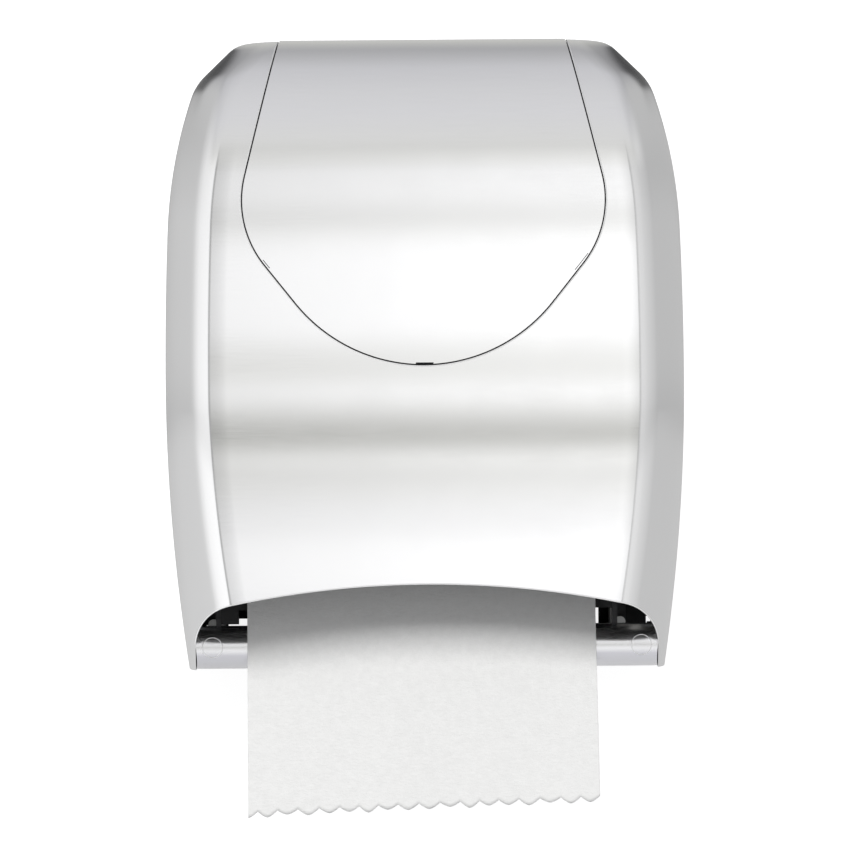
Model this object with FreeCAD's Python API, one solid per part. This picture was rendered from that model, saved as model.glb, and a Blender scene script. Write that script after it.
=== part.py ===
import FreeCAD, Part
import math
import os

# Touchless roll towel dispenser. Millimetres, +Z up, +X to the viewer's right, front towards -Y.
# The origin is the centre of the wall screw pattern, on the back plate's rear face at y = 0.

# Housing outline, seen from the front
housing_half_width = 149.25
housing_half_height = 179.6
widest_z = -15.0
side_radius_low = 1100.0
side_radius_high = 2200.0
side_high_angle = 2.25
upper_side_radius = 280.0
upper_side_angle = 18.3
corner_radius_below_facet = 31.5
facet_angle = 45.0
corner_radius_above_facet = 16.0

# Housing profile, seen from the side
housing_depth = 231.6
deepest_z = -44.0
front_radius = 495.0
shoulder_radius = 110.0

# Front face and its soft creases
front_half_width = 123.0
front_widest_z = 10.0
front_side_radius = 900.0
crease_reach = 7.5
crease_radius = 12.0
top_draw_in = 19.6

# Cover
cover_wall = 3.0
insert_stand_out = 0.4
seam = 0.3
wall_gap = 4.0
hinge_corner_radius = 16.0
hinge_pin_radius = 3.0
hinge_pin_length = 12.0
running_clearance = 0.05
piece_clearance = 0.3

# Mouth arch in the cover, and the half-round bar below it
arch_top_z = -130.8
arch_radius = 540.0
mouth_half_width = 131.5
mouth_corner_radius = 25.0
bar_radius = 12.25
bar_wall = 2.5
bar_front_y = -162.0
bar_bottom_gap = 0.8
bar_rib_count = 5
cheek_lead = 6.0
plug_radius = 6.0
plug_x = 122.0
plug_proud = 0.15
plug_seat_depth = 3.0
plug_boss_wall = 2.0

# Front insert, shaped like a bib
bib_half_width = 102.4
bib_bottom_z = -6.4
bib_bottom_radius = 92.5
bib_shoulder_radius = 58.4
bib_shoulder_z = 86.6
bib_side_tilt = 13.6
bib_back_y = -58.0
bib_flange = 5.0
bib_flange_thickness = 1.6
pry_slot_width = 10.0
pry_slot_height = 0.9
notch_width = 0.9
right_notch_length = 12.0
left_notch_length = 6.0

# Back plate
plate_thickness = 3.0
plate_gap = 3.0
plate_flange_depth = 12.0
plate_flange_thickness = 2.5
screw_spacing_x = 152.4
screw_spacing_z = 203.2
screw_hole_radius = 2.75
screw_boss_radius = 8.0
screw_boss_height = 3.0
plate_rib_levels = (-36.0, 15.0, 100.0, 140.0)
plate_rib_width = 2.5
plate_rib_height = 4.0
windows = (
    (-115.0, -88.0, -168.0, -152.4),
    (-127.5, -122.0, -168.0, -156.0),
    (82.0, 99.6, -168.0, -144.4),
    (127.2, 129.8, -168.0, -152.6),
)
hinge_lug_width = 4.5
hinge_lug_radius = 8.0
screw_size = 3.5
screw_head_radius = 3.15

# Supply roll and its arms
roll_width = 198.0
roll_centre_x = -3.0
roll_back_room = 22.0
roll_front_room = 17.6
roll_z = 42.0
core_radius = 20.0
core_wall = 1.3
hub_gap = 1.0
hub_flange_radius = 26.0
hub_flange_thickness = 2.4
hub_spigot_length = 12.0
hub_base_radius = 19.2
hub_tip_radius = 17.0
hub_axle_radius = 3.0
hub_wall = 3.0
hub_axle_end = 2.0
arm_thickness = 4.0
arm_height = 26.0
arm_pivot_y = -14.0
arm_pivot_out = 9.0
arm_pin_radius = 2.5
arm_pin_head = 2.5
arm_pin_head_height = 1.5
knuckle_radius = 6.0
ear_thickness = 4.0
arm_end_radius = 12.0
arm_slot_shift = -17.0
arm_slot_length_share = 0.72
arm_slot_height_share = 0.45
spring_wire = 1.2
spring_turns = 3
spring_steps = 10
spring_pitch = 1.45
spring_leg = 6.0

# Feed roller, pinch roller and web
web_thickness = 0.3
web_clearance = 0.15
feed_y = -140.0
feed_z = -112.0
feed_radius = 20.0
feed_core_radius = 16.0
feed_shaft_radius = 4.0
sleeve_width = 42.0
sleeve_pitch = 64.0
pinch_radius = 9.0
pinch_shaft_radius = 2.5
pinch_pivot_y = -164.0
pinch_pivot_z = -84.0
pinch_arm_thickness = 2.5
pinch_arm_half_width = 5.0
bush_radius = 6.5
bush_flange = 1.5
bush_flange_rise = 2.5
hang_y = -163.4
hang_start_z = -150.0
torn_left_z = -262.0
torn_right_z = -252.0
tear_pitch = 11.5
tear_depth = 3.4

# Side frames and what closes the chassis
frame_thickness = 3.0
left_frame_x = -120.0
right_frame_x = 105.6
frame_foot = 10.0
frame_top_z = -46.0
frame_top_y = -78.0
frame_step_z = -150.0
frame_nose_y = 10.0
frame_nose_z = 8.0
frame_toe = 10.0
frame_window = ((-20.0, -162.0), (-20.0, -134.0), (-58.0, -134.0), (-74.0, -162.0))
tray_slot_count = 9
tray_slot_width = 4.0
tray_slot_length = 60.0
tray_thickness = 2.5
tray_gap = 0.5
tray_front_y = -143.0
sensor_plate_thickness = 1.0
sensor_plate_height = 14.0
sensor_plate_half_width = 60.0
blade_bar_height = 10.0
blade_bar_depth = 18.0
blade_bar_wall = 3.0
blade_bar_set_back = 1.0
blade_bar_foot = 8.0
blade_thickness = 1.0
blade_z = -146.5
blade_half_width = 97.0
blade_tip_gap = 1.4
tooth_length = 6.0
blade_screw_head = 1.2
blade_screw_share = 0.4

# Drive: a small fast gear turns a large slow one, twice
pressure_angle = 25.0
first_module = 0.8
second_module = 1.0
pinion_teeth = 12
idler_large_teeth = 48
idler_small_teeth = 14
roller_gear_teeth = 42
backlash = 0.25
addendum_share = 0.8
dedendum_share = 1.0
root_flare = 1.04
gear_width = 6.0
gear_gap = 0.8
roller_gear_rim = 4.0
idler_gear_rim = 3.0
idler_direction = 20.0
motor_direction = -10.0
motor_radius = 12.0
motor_length = 32.0
motor_shaft_radius = 1.2
motor_flat = 10.0
motor_cap = 3.0
motor_cap_share = 0.75
idler_shaft_radius = 2.0
bracket_thickness = 1.5
bracket_margin = 4.0
bracket_shelf = 18.0

# Power and control
cell_radius = 17.1
cell_length = 61.5
cell_gap = 1.5
cell_pip_radius = 4.8
cell_pip_height = 1.5
contact_thickness = 0.6
contact_half = 9.0
contact_pip_radius = 4.0
box_wall = 2.0
box_bottom_z = -135.0
door_thickness = 2.0
rail_width = 3.0
grip_count = 5
grip_pitch = 4.0
grip_half_width = 18.0
grip_height = 1.5
grip_proud = 1.2
grip_top_gap = 10.0
board_side_gap = 6.0
board_z = -108.0
board_width = 36.0
board_height = 62.0
board_thickness = 1.6
standoff_height = 5.0
post_inset = 4.0
post_radius = 2.5
button_radius = 4.0
button_travel = 1.5
button_housing_half = 6.0
button_below_edge = 10.0
selector_travel = 3.0
selector_width = 4.0
selector_below_edge = 26.0
selector_height = 5.0
selector_half = 4.0
button_body = 6.0
dome_rise = 0.8

# Sensing lever
lever_x = -78.0
lever_width = 4.0
lever_shaft_radius = 2.0
lever_nose_radius = 3.0
lever_pivot_share = 0.08
lever_pivot_drop = 15.0
lever_nose_share = 0.5
lever_boss_wall = 1.5
lever_boss_side = 2.0
lever_nose_side = 1.0
lever_tip_half = 1.5
switch_width = 6.5
switch_half_length = 10.0
switch_height = 11.0
switch_drop = 9.0

# Lock
lock_y = -26.0
lock_radius = 7.0
lock_depth = 12.0
nut_radius = 11.0
nut_height = 2.8
keyway_half_width = 0.8
keyway_half_length = 3.5
keyway_depth = 6.0
cam_length = 15.0
cam_width = 6.0
cam_thickness = 2.5
latch_thickness = 2.5
latch_drop = 4.0
latch_post_gap = 2.0
latch_post_width = 8.0
latch_foot = 10.0

V = FreeCAD.Vector
parts = {}


def radians(angle):
    return math.radians(angle)


def block(x0, x1, y0, y1, z0, z1):
    return Part.makeBox(x1 - x0, y1 - y0, z1 - z0, V(x0, y0, z0))


def rod_x(x0, x1, y, z, radius):
    return Part.makeCylinder(radius, x1 - x0, V(x0, y, z), V(1, 0, 0))


def rod_y(x, y0, y1, z, radius):
    return Part.makeCylinder(radius, y1 - y0, V(x, y0, z), V(0, 1, 0))


def rod_z(x, y, z0, z1, radius):
    return Part.makeCylinder(radius, z1 - z0, V(x, y, z0), V(0, 0, 1))


def tube_x(x0, x1, y, z, outer, inner):
    return rod_x(x0, x1, y, z, outer).cut(rod_x(x0, x1, y, z, inner))


def prism_x(points, x0, x1):
    """A straight-sided outline in the (y, z) plane, given thickness along X."""
    corners = [V(x0, y, z) for y, z in points]
    face = Part.Face(Part.makePolygon(corners + corners[:1]))
    return face.extrude(V(x1 - x0, 0, 0))


def join(shapes):
    whole = shapes[0]
    for shape in shapes[1:]:
        whole = whole.fuse(shape)
    return whole.removeSplitter()


def group(shapes):
    return Part.makeCompound(shapes)


def slab(y0, y1, z0, z1):
    """Block that reaches past both sides of the housing."""
    reach = housing_half_width + 10
    return block(-reach, reach, y0, y1, z0, z1)


def hinge_rod(radius):
    """Rod on the cover's hinge line that reaches past both sides."""
    reach = housing_half_width + 10
    return rod_x(-reach, reach, hinge_y, hinge_z, radius)


def keep(name, shape):
    parts[name] = shape


# Housing form: horizontal sections lofted upward, each inset by the same distance


def outline_arcs(inset):
    """The upper half of the front outline as arcs (centre x, centre z, radius, first z, last z)."""
    turns = [
        (side_radius_high, 0.0, side_high_angle),
        (upper_side_radius, side_high_angle, upper_side_angle),
        (corner_radius_below_facet, upper_side_angle, facet_angle),
    ]
    x, z = housing_half_width - inset, widest_z
    arcs = []
    for radius, start, end in turns:
        r = radius - inset
        cx = x - r * math.cos(radians(start))
        cz = z - r * math.sin(radians(start))
        x = cx + r * math.cos(radians(end))
        z_end = cz + r * math.sin(radians(end))
        arcs.append((cx, cz, r, z, z_end))
        z = z_end
    r = corner_radius_above_facet - inset
    top = housing_half_height - inset
    cz = top - r
    facet_end = cz + r * math.sin(radians(facet_angle))
    x -= (facet_end - z) * math.tan(radians(facet_angle))
    arcs.append((x - r * math.cos(radians(facet_angle)), cz, r, facet_end, top))
    return arcs


def half_width(z, inset=0.0):
    """Half the housing's width at a height, at the wall."""
    if z <= widest_z:
        r = side_radius_low - inset
        return housing_half_width - inset - r + math.sqrt(r ** 2 - (z - widest_z) ** 2)
    arcs = outline_arcs(inset)
    for cx, cz, r, low, high in arcs[:3]:
        if z <= high:
            return cx + math.sqrt(max(r ** 2 - (z - cz) ** 2, 0.0))
    cx, cz, r, low, high = arcs[3]
    if z < low:
        start = cx + r * math.cos(radians(facet_angle))
        return start + (low - z) * math.tan(radians(facet_angle))
    return cx + math.sqrt(max(r ** 2 - (min(z, high) - cz) ** 2, 0.0))


def profile_centres():
    """Centre of the front arc and centre of the shoulder arc, in (y, z)."""
    front_y = front_radius - housing_depth
    shoulder_z = housing_half_height - shoulder_radius
    rise = shoulder_z - deepest_z
    run = math.sqrt((front_radius - shoulder_radius) ** 2 - rise ** 2)
    return (front_y, deepest_z), (front_y - run, shoulder_z)


def shoulder_start_z():
    """Height at which the front arc runs into the shoulder arc."""
    (fy, fz), (sy, sz) = profile_centres()
    return fz + (sz - fz) * front_radius / (front_radius - shoulder_radius)


def depth(z, inset=0.0):
    """Distance from the wall to the front face at a height."""
    (fy, fz), (sy, sz) = profile_centres()
    if z <= shoulder_start_z():
        return math.sqrt((front_radius - inset) ** 2 - (z - fz) ** 2) - fy
    return math.sqrt(max((shoulder_radius - inset) ** 2 - (z - sz) ** 2, 0.0)) - sy


def front_corner(z, inset=0.0):
    """Half the front face's width with its creases still sharp."""
    level = max(z, arch_top_z - 10.0)
    drop = front_side_radius - math.sqrt(front_side_radius ** 2 - (level - front_widest_z) ** 2)
    crease = front_half_width + crease_reach - drop
    return min(crease, half_width(z) - top_draw_in) - inset


def side_x(y, z, inset=0.0):
    """The side wall's distance from the middle, y in front of the wall plane."""
    wide = half_width(z, inset)
    share = max(-y, 0.0) / depth(z, inset)
    return wide - (wide - front_corner(z, inset)) * share ** 4


def section(z, inset, back_y):
    """One horizontal section of the housing, as a closed wire."""
    deep = depth(z, inset)
    wide = half_width(z, inset)
    r = crease_radius - inset
    touch = deep - r
    for _ in range(30):
        slope = 4 * (wide - front_corner(z, inset)) / deep * (touch / deep) ** 3
        lean = math.hypot(1.0, slope)
        touch = deep - r + r * slope / lean
    edge_x = side_x(-touch, z, inset)
    centre = V(edge_x - r / lean, r - deep, z)
    angle = (math.atan2(slope, 1.0) + math.pi / 2) / 2
    middle = V(centre.x + r * math.cos(angle), centre.y - r * math.sin(angle), z)
    levels = [back_y, -0.35 * deep, -0.6 * deep, -0.8 * deep, -touch]
    right = [V(side_x(y, z, inset), y, z) for y in levels]
    last = V(centre.x, -deep, z)

    def mirror(p):
        return V(-p.x, p.y, p.z)

    side = Part.BSplineCurve()
    side.interpolate(right)
    other = Part.BSplineCurve()
    other.interpolate([mirror(p) for p in reversed(right)])
    edges = [
        side.toShape(),
        Part.Arc(right[-1], middle, last).toShape(),
        Part.LineSegment(last, mirror(last)).toShape(),
        Part.Arc(mirror(last), mirror(middle), mirror(right[-1])).toShape(),
        other.toShape(),
        Part.LineSegment(mirror(right[0]), right[0]).toShape(),
    ]
    return Part.Wire(edges)


def housing_form(inset, low_z, back_y):
    """The solid inside the housing's skin, inset all round."""
    top = housing_half_height - inset
    start = shoulder_start_z()
    body = [low_z + (start - low_z) * i / 8 for i in range(9)]
    crown = [start + (top - start) * share for share in (0.0, 0.25, 0.48, 0.68, 0.82, 0.91, 0.965, 0.99, 1.0)]
    lower = Part.makeLoft([section(z, inset, back_y) for z in body], True, False)
    upper = Part.makeLoft([section(z, inset, back_y) for z in crown], True, False)
    return lower.fuse(upper)


# Places that several pieces share
hinge_y = -(wall_gap + hinge_corner_radius)
hinge_z = hinge_corner_radius - housing_half_height
bar_y = bar_front_y + bar_radius
bar_z = bar_bottom_gap + bar_radius - housing_half_height
plate_inset = cover_wall + plate_gap
plate_low_z = plate_inset - housing_half_height
tray_z = plate_low_z + plate_flange_thickness + tray_gap
roll_radius = (housing_depth - roll_back_room - roll_front_room) / 2
roll_y = -(roll_back_room + roll_radius)
roll_x0 = roll_centre_x - roll_width / 2
roll_x1 = roll_centre_x + roll_width / 2
left_inner_x = left_frame_x + frame_thickness
right_outer_x = right_frame_x + frame_thickness
web_radius = feed_radius + web_clearance + web_thickness / 2
board_x = left_inner_x + board_side_gap + board_width / 2
pinch_y = feed_y - feed_radius - 2 * web_clearance - web_thickness - pinch_radius
arm_gap = hub_gap + hub_flange_thickness + piece_clearance


# Cover, its insert and its bar


def mouth_cutter():
    """The arched mouth, cut straight back through the cover's front and both cheeks."""
    arch_z = arch_top_z - arch_radius
    corner_x = mouth_half_width - mouth_corner_radius
    reach = arch_radius - mouth_corner_radius
    corner_z = arch_z + math.sqrt(reach ** 2 - corner_x ** 2)
    lean = math.atan2(corner_z - arch_z, corner_x)
    shoulder = V(arch_radius * math.cos(lean), 0, arch_z + arch_radius * math.sin(lean))
    turn = lean / 2
    corner = V(
        corner_x + mouth_corner_radius * math.cos(turn),
        0,
        corner_z + mouth_corner_radius * math.sin(turn),
    )
    side = V(mouth_half_width, 0, corner_z)
    foot = V(mouth_half_width, 0, -housing_half_height - 10)

    def mirror(p):
        return V(-p.x, p.y, p.z)

    edges = [
        Part.Arc(mirror(shoulder), V(0, 0, arch_top_z), shoulder).toShape(),
        Part.Arc(shoulder, corner, side).toShape(),
        Part.LineSegment(side, foot).toShape(),
        Part.LineSegment(foot, mirror(foot)).toShape(),
        Part.LineSegment(mirror(foot), mirror(side)).toShape(),
        Part.Arc(mirror(side), mirror(corner), mirror(shoulder)).toShape(),
    ]
    face = Part.Face(Part.Wire(edges))
    front = face.extrude(V(0, -housing_depth - 10, 0))
    front = front.cut(slab(bar_front_y + 4 * bar_radius, 0, -housing_half_height - 20, 0))
    edge_y = bar_front_y - cheek_lead
    ahead = prism_x(
        [
            (edge_y, -housing_half_height - 10),
            (edge_y, corner_z + cheek_lead / 2),
            (edge_y - mouth_corner_radius, corner_z + mouth_corner_radius / 2),
            (-housing_depth - 10, corner_z + mouth_corner_radius / 2),
            (-housing_depth - 10, -housing_half_height - 10),
        ],
        -housing_half_width,
        housing_half_width,
    )
    return front.fuse(ahead)


def bib_tangent():
    """Angle at which the shoulder's arc runs into the straight line down to the bottom arc."""
    gap_x = bib_half_width - bib_shoulder_radius
    gap_z = bib_shoulder_z - bib_bottom_z - bib_bottom_radius
    swing = math.acos((bib_bottom_radius - bib_shoulder_radius) / math.hypot(gap_x, gap_z))
    return math.atan2(gap_z, gap_x) - swing


def bib_outline(grow):
    """Face of the bib: straight sides, round shoulders and a round bottom, all tangent."""
    shoulder_x = bib_half_width - bib_shoulder_radius
    low_z = bib_bottom_z + bib_bottom_radius
    tangent = bib_tangent()
    tilt = radians(bib_side_tilt)
    top_z = housing_half_height + 20

    def on_shoulder(angle):
        r = bib_shoulder_radius + grow
        return V(shoulder_x + r * math.cos(angle), 0, bib_shoulder_z + r * math.sin(angle))

    def on_bottom(angle):
        r = bib_bottom_radius + grow
        return V(r * math.cos(angle), 0, low_z + r * math.sin(angle))

    def mirror(p):
        return V(-p.x, p.y, p.z)

    high = on_shoulder(tilt)
    top = V(high.x - (top_z - high.z) * math.tan(tilt), 0, top_z)
    middle = on_shoulder((tilt + tangent) / 2)
    low = on_shoulder(tangent)
    base = on_bottom(tangent)
    lowest = on_bottom(-math.pi / 2)
    edges = [
        Part.LineSegment(mirror(top), top).toShape(),
        Part.LineSegment(top, high).toShape(),
        Part.Arc(high, middle, low).toShape(),
        Part.LineSegment(low, base).toShape(),
        Part.Arc(base, lowest, mirror(base)).toShape(),
        Part.LineSegment(mirror(base), mirror(low)).toShape(),
        Part.Arc(mirror(low), mirror(middle), mirror(high)).toShape(),
        Part.LineSegment(mirror(high), mirror(top)).toShape(),
    ]
    return Part.Face(Part.Wire(edges))


def bib_prism(grow, back_y):
    face = bib_outline(grow)
    face.translate(V(0, -housing_depth - 20, 0))
    return face.extrude(V(0, housing_depth + 20 + back_y, 0))


def make_cover(outer, inner):
    shell = outer.cut(inner)
    shell = shell.cut(slab(-wall_gap, 10, -housing_half_height - 10, housing_half_height + 10))
    corner = slab(hinge_y, 10, -housing_half_height - 1, hinge_z)
    shell = shell.cut(corner.cut(hinge_rod(hinge_corner_radius)))
    shell = shell.cut(mouth_cutter())
    shell = shell.cut(bib_prism(seam, bib_back_y + seam))
    shell = shell.cut(rod_z(0, lock_y, roll_z, housing_half_height + 5, lock_radius + running_clearance))
    shell = shell.cut(hinge_rod(hinge_pin_radius))
    return shell


def pry_notches():
    """Narrow notches across the seam, one each side, where the panel is levered out."""
    angle = bib_tangent()
    notches = []
    for side, length in ((1, right_notch_length), (-1, left_notch_length)):
        notch = block(-notch_width, 0, -housing_depth - 10, -housing_depth / 2, -length / 2, length / 2)
        notch.rotate(V(0, 0, 0), V(0, 1, 0), -math.degrees(angle))
        x = bib_half_width - bib_shoulder_radius * (1 - math.cos(angle))
        notch.translate(V(x, 0, bib_shoulder_z + bib_shoulder_radius * math.sin(angle)))
        if side < 0:
            notch = notch.mirror(V(0, 0, 0), V(1, 0, 0))
        notches.append(notch)
    return notches


def make_insert(raised, inner, ledge):
    """Bib panel with a flange behind its edge, a pry slot and two pry notches."""
    panel = raised.cut(inner).common(bib_prism(0.0, bib_back_y))
    flange = inner.cut(ledge)
    ring = bib_prism(bib_flange, bib_back_y + bib_flange).cut(bib_prism(-bib_flange, bib_back_y - bib_flange))
    flange = flange.common(ring)
    slot = block(
        -pry_slot_width / 2,
        pry_slot_width / 2,
        -housing_depth - 10,
        -housing_depth / 2,
        bib_bottom_z - 1,
        bib_bottom_z + pry_slot_height,
    )
    return panel.cut([slot] + pry_notches()).fuse(flange)


def make_bar(hollow):
    """Half-round bar: a round-fronted channel with ribs, its ends cut to the cheeks."""
    reach = housing_half_width
    outside = rod_x(-reach, reach, bar_y, bar_z, bar_radius)
    inside = rod_x(-reach, reach, bar_y, bar_z, bar_radius - bar_wall)
    rear = block(-reach, reach, bar_y, bar_y + bar_radius + 1, bar_z - bar_radius - 1, bar_z + bar_radius + 1)
    ribs = []
    for i in range(bar_rib_count):
        x = (i + 0.5) / bar_rib_count * 2 * mouth_half_width - mouth_half_width
        ribs.append(rod_x(x - bar_wall / 2, x + bar_wall / 2, bar_y, bar_z, bar_radius - bar_wall))
    for side in (-1, 1):
        x = side * plug_x
        half = plug_radius + plug_boss_wall
        ribs.append(rod_x(x - half, x + half, bar_y, bar_z, bar_radius - bar_wall))
    bar = join([outside.cut(inside)] + ribs).cut(rear).common(hollow)
    for side in (-1, 1):
        floor_y = bar_y - plug_seat_depth
        seat = rod_y(side * plug_x, bar_front_y - 2, floor_y, bar_z, plug_radius + running_clearance)
        bar = bar.cut(seat)
    return bar


def make_plugs():
    """Two discs whose faces follow the bar's round front."""
    front = rod_x(-housing_half_width, housing_half_width, bar_y, bar_z, bar_radius + plug_proud)
    discs = []
    for side in (-1, 1):
        rear_y = bar_y - plug_seat_depth - piece_clearance
        disc = rod_y(side * plug_x, bar_front_y - 2, rear_y, bar_z, plug_radius)
        discs.append(disc.common(front))
    return group(discs)


def make_hinge_pins():
    pins = []
    for side in (-1, 1):
        outside = side_x(hinge_y, hinge_z) - 0.2
        inside = outside - hinge_pin_length
        x0, x1 = sorted((side * outside, side * inside))
        pins.append(rod_x(x0, x1, hinge_y, hinge_z, hinge_pin_radius))
    return group(pins)


# Back plate and what closes the chassis


def make_back_plate(plate_form, plate_hollow):
    """Pan-shaped plate with a rim, screw bosses, ribs, hinge lugs, arm ears and small windows."""
    reach = housing_half_width
    low, high = -housing_half_height - 1, housing_half_height
    front = -plate_thickness - plate_flange_depth
    pan = plate_form.common(block(-reach, reach, front, 0, low, high))
    well = plate_hollow.common(block(-reach, reach, front - 1, -plate_thickness, low, high))
    pan = pan.cut(well)
    bosses = []
    for x, z in screw_places():
        bosses.append(rod_y(x, -plate_thickness - screw_boss_height, -plate_thickness, z, screw_boss_radius))
    for z in plate_rib_levels:
        half = half_width(z, plate_inset) - plate_flange_thickness
        bosses.append(block(-half, half, -plate_thickness - plate_rib_height, -1, z, z + plate_rib_width))
    for side in (-1, 1):
        bosses.append(hinge_lug(side))
        for ear_z in ear_levels():
            bosses.append(arm_ear(side, ear_z))
    plate = join([pan] + bosses)
    for x, z in screw_places():
        plate = plate.cut(rod_y(x, -plate_thickness - screw_boss_height - 1, 1, z, screw_hole_radius))
    for x0, x1, z0, z1 in windows:
        plate = plate.cut(block(x0, x1, -plate_thickness - 1, 1, z0, z1))
    for side in (-1, 1):
        axis = arm_axis_x(side)
        for ear_z in ear_levels():
            plate = plate.cut(rod_z(axis, arm_pivot_y, ear_z, ear_z + ear_thickness, arm_pin_radius))
    hole = hinge_pin_radius + running_clearance
    return plate.cut(rod_x(-reach, reach, hinge_y, hinge_z, hole))


def screw_places():
    return [(i * screw_spacing_x / 2, k * screw_spacing_z / 2) for i in (-1, 1) for k in (-1, 1)]


def hinge_lug(side):
    """Ear on the rim's inner side that holds the cover's pin."""
    outer = half_width(hinge_z, plate_inset) - 1
    inner = outer - hinge_lug_width
    x0, x1 = sorted((side * inner, side * outer))
    round_end = rod_x(x0, x1, hinge_y, hinge_z, hinge_lug_radius)
    low = hinge_z - hinge_lug_radius
    root = block(x0, x1, hinge_y, -plate_thickness + 1, low, low + 2 * hinge_lug_radius)
    return round_end.fuse(root)


def arm_axis_x(side):
    """Upright pin's place, outboard of the arm on that side of the roll."""
    if side < 0:
        return roll_x0 - arm_gap - arm_thickness - arm_pivot_out + knuckle_radius / 2
    return roll_x1 + arm_gap + arm_thickness + arm_pivot_out - knuckle_radius / 2


def ear_levels():
    half = arm_height / 2 + piece_clearance
    return (roll_z - half - ear_thickness, roll_z + half)


def arm_ear(side, low_z):
    x = arm_axis_x(side)
    tip = rod_z(x, arm_pivot_y, low_z, low_z + ear_thickness, knuckle_radius)
    root = block(
        x - knuckle_radius,
        x + knuckle_radius,
        arm_pivot_y,
        -plate_thickness + 1,
        low_z,
        low_z + ear_thickness,
    )
    return tip.fuse(root)


def make_side_frame(inner_x, outward):
    """Upright plate with a foot turned along the back plate and a window to save weight."""
    x0 = min(inner_x, inner_x + outward * frame_thickness)
    x1 = x0 + frame_thickness
    outline = [
        (-plate_thickness, tray_z),
        (-plate_thickness, frame_top_z),
        (frame_top_y, frame_top_z),
        (pinch_pivot_y - 2 * pinch_shaft_radius, pinch_pivot_z + 2.5 * pinch_shaft_radius),
        (pinch_pivot_y - 2 * pinch_shaft_radius, pinch_pivot_z - 2.5 * pinch_shaft_radius),
        (feed_y - frame_nose_y, feed_z - frame_nose_z),
        (feed_y - frame_nose_y, frame_step_z),
        (tray_front_y + frame_toe, tray_z),
    ]
    plate = prism_x(outline, x0, x1)
    edge = x0 if outward > 0 else x1
    f0, f1 = sorted((edge, edge + outward * frame_foot))
    foot = block(f0, f1, -2 * plate_thickness, -plate_thickness, tray_z, frame_top_z)
    plate = plate.fuse(foot)
    return plate.cut(prism_x(frame_window, x0 - 1, x1 + 1))


def make_tray():
    """Floor between the side frames, with slots and an upright front edge."""
    top = tray_top_z()
    floor = block(left_inner_x, right_frame_x, tray_front_y, -plate_thickness, tray_z, top)
    lip = block(
        left_inner_x,
        right_frame_x,
        tray_front_y,
        tray_front_y + tray_thickness,
        tray_z,
        tray_z + 2 * tray_thickness,
    )
    tray = floor.fuse(lip)
    pitch = (right_frame_x - left_inner_x) / (tray_slot_count + 1)
    for i in range(tray_slot_count):
        x = left_inner_x + (i + 1) * pitch
        y = tray_front_y / 2
        half = tray_slot_width / 2
        reach = tray_slot_length / 2
        tray = tray.cut(block(x - half, x + half, y - reach, y + reach, tray_z - 1, top + 1))
    return tray


def tray_top_z():
    return tray_z + tray_thickness


def make_sensor_plate():
    """Upright metal plate just behind the bar that feels a hand through it."""
    y0 = tray_front_y + tray_thickness
    z0 = tray_top_z()
    plate = block(
        -sensor_plate_half_width,
        sensor_plate_half_width,
        y0,
        y0 + sensor_plate_thickness,
        z0,
        z0 + sensor_plate_height,
    )
    foot = block(
        -sensor_plate_half_width,
        sensor_plate_half_width,
        y0,
        y0 + sensor_plate_height / 2,
        z0,
        z0 + sensor_plate_thickness,
    )
    return plate.fuse(foot)


def make_blade_bar():
    """Channel between the side frames that carries the blade, with a foot at its left end."""
    x0, x1 = left_inner_x, right_frame_x
    z0 = blade_z + blade_thickness
    front = hang_y + blade_tip_gap + tooth_length + blade_bar_set_back
    outline = [
        (front, z0),
        (front, z0 + blade_bar_height / 2),
        (front + blade_bar_depth / 3, z0 + blade_bar_height / 2),
        (front + blade_bar_depth / 2, z0 + blade_bar_wall),
        (front + blade_bar_depth, z0 + blade_bar_wall),
        (front + blade_bar_depth, z0),
    ]
    bar = prism_x(outline, x0, x1)
    foot = block(x0, x0 + frame_foot, front + 2, front + blade_bar_depth, z0 - blade_bar_foot, z0)
    return bar.fuse(foot)


def make_blade():
    """Flat strip with pointed teeth, one pitch apart, that stop short of the towel."""
    tip = hang_y + blade_tip_gap
    root = tip + tooth_length
    count = round(2 * blade_half_width / tear_pitch)
    pitch = 2 * blade_half_width / count
    x0 = roll_centre_x - blade_half_width
    points = [(x0, root + blade_bar_depth), (x0, root)]
    for i in range(count):
        points.append((x0 + (i + 0.5) * pitch, tip))
        points.append((x0 + (i + 1) * pitch, root))
    points.append((x0 + 2 * blade_half_width, root + blade_bar_depth))
    corners = [V(x, y, blade_z) for x, y in points]
    face = Part.Face(Part.makePolygon(corners + corners[:1]))
    blade = face.extrude(V(0, 0, blade_thickness))
    for x in blade_screw_places():
        blade = blade.cut(rod_z(x, root + blade_bar_depth / 2, blade_z - 1, blade_z + 2, screw_size / 2))
    return blade


def blade_screw_places():
    return [roll_centre_x + i * blade_half_width * blade_screw_share for i in (-2, -1, 0, 1, 2)]


def make_blade_screws():
    screws = []
    y = hang_y + blade_tip_gap + tooth_length + blade_bar_depth / 2
    for x in blade_screw_places():
        head = rod_z(x, y, blade_z - blade_screw_head, blade_z, screw_head_radius)
        stem = rod_z(x, y, blade_z, blade_z + blade_thickness, screw_size / 2 - running_clearance)
        screws.append(head.fuse(stem))
    return group(screws)


# Rollers and the pinch frame


def make_feed_roller():
    """Plastic core on a shaft that runs through both frames to the roller gear."""
    core = rod_x(roll_x0, roll_x1, feed_y, feed_z, feed_core_radius)
    shaft = rod_x(left_frame_x - 2, gear_end_x(), feed_y, feed_z, feed_shaft_radius)
    return core.fuse(shaft)


def make_sleeves():
    sleeves = []
    for i in (-1, 0, 1):
        x = roll_centre_x + i * sleeve_pitch
        half = sleeve_width / 2
        sleeve = tube_x(x - half, x + half, feed_y, feed_z, feed_radius, feed_core_radius)
        sleeves.append(sleeve)
    return group(sleeves)


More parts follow.
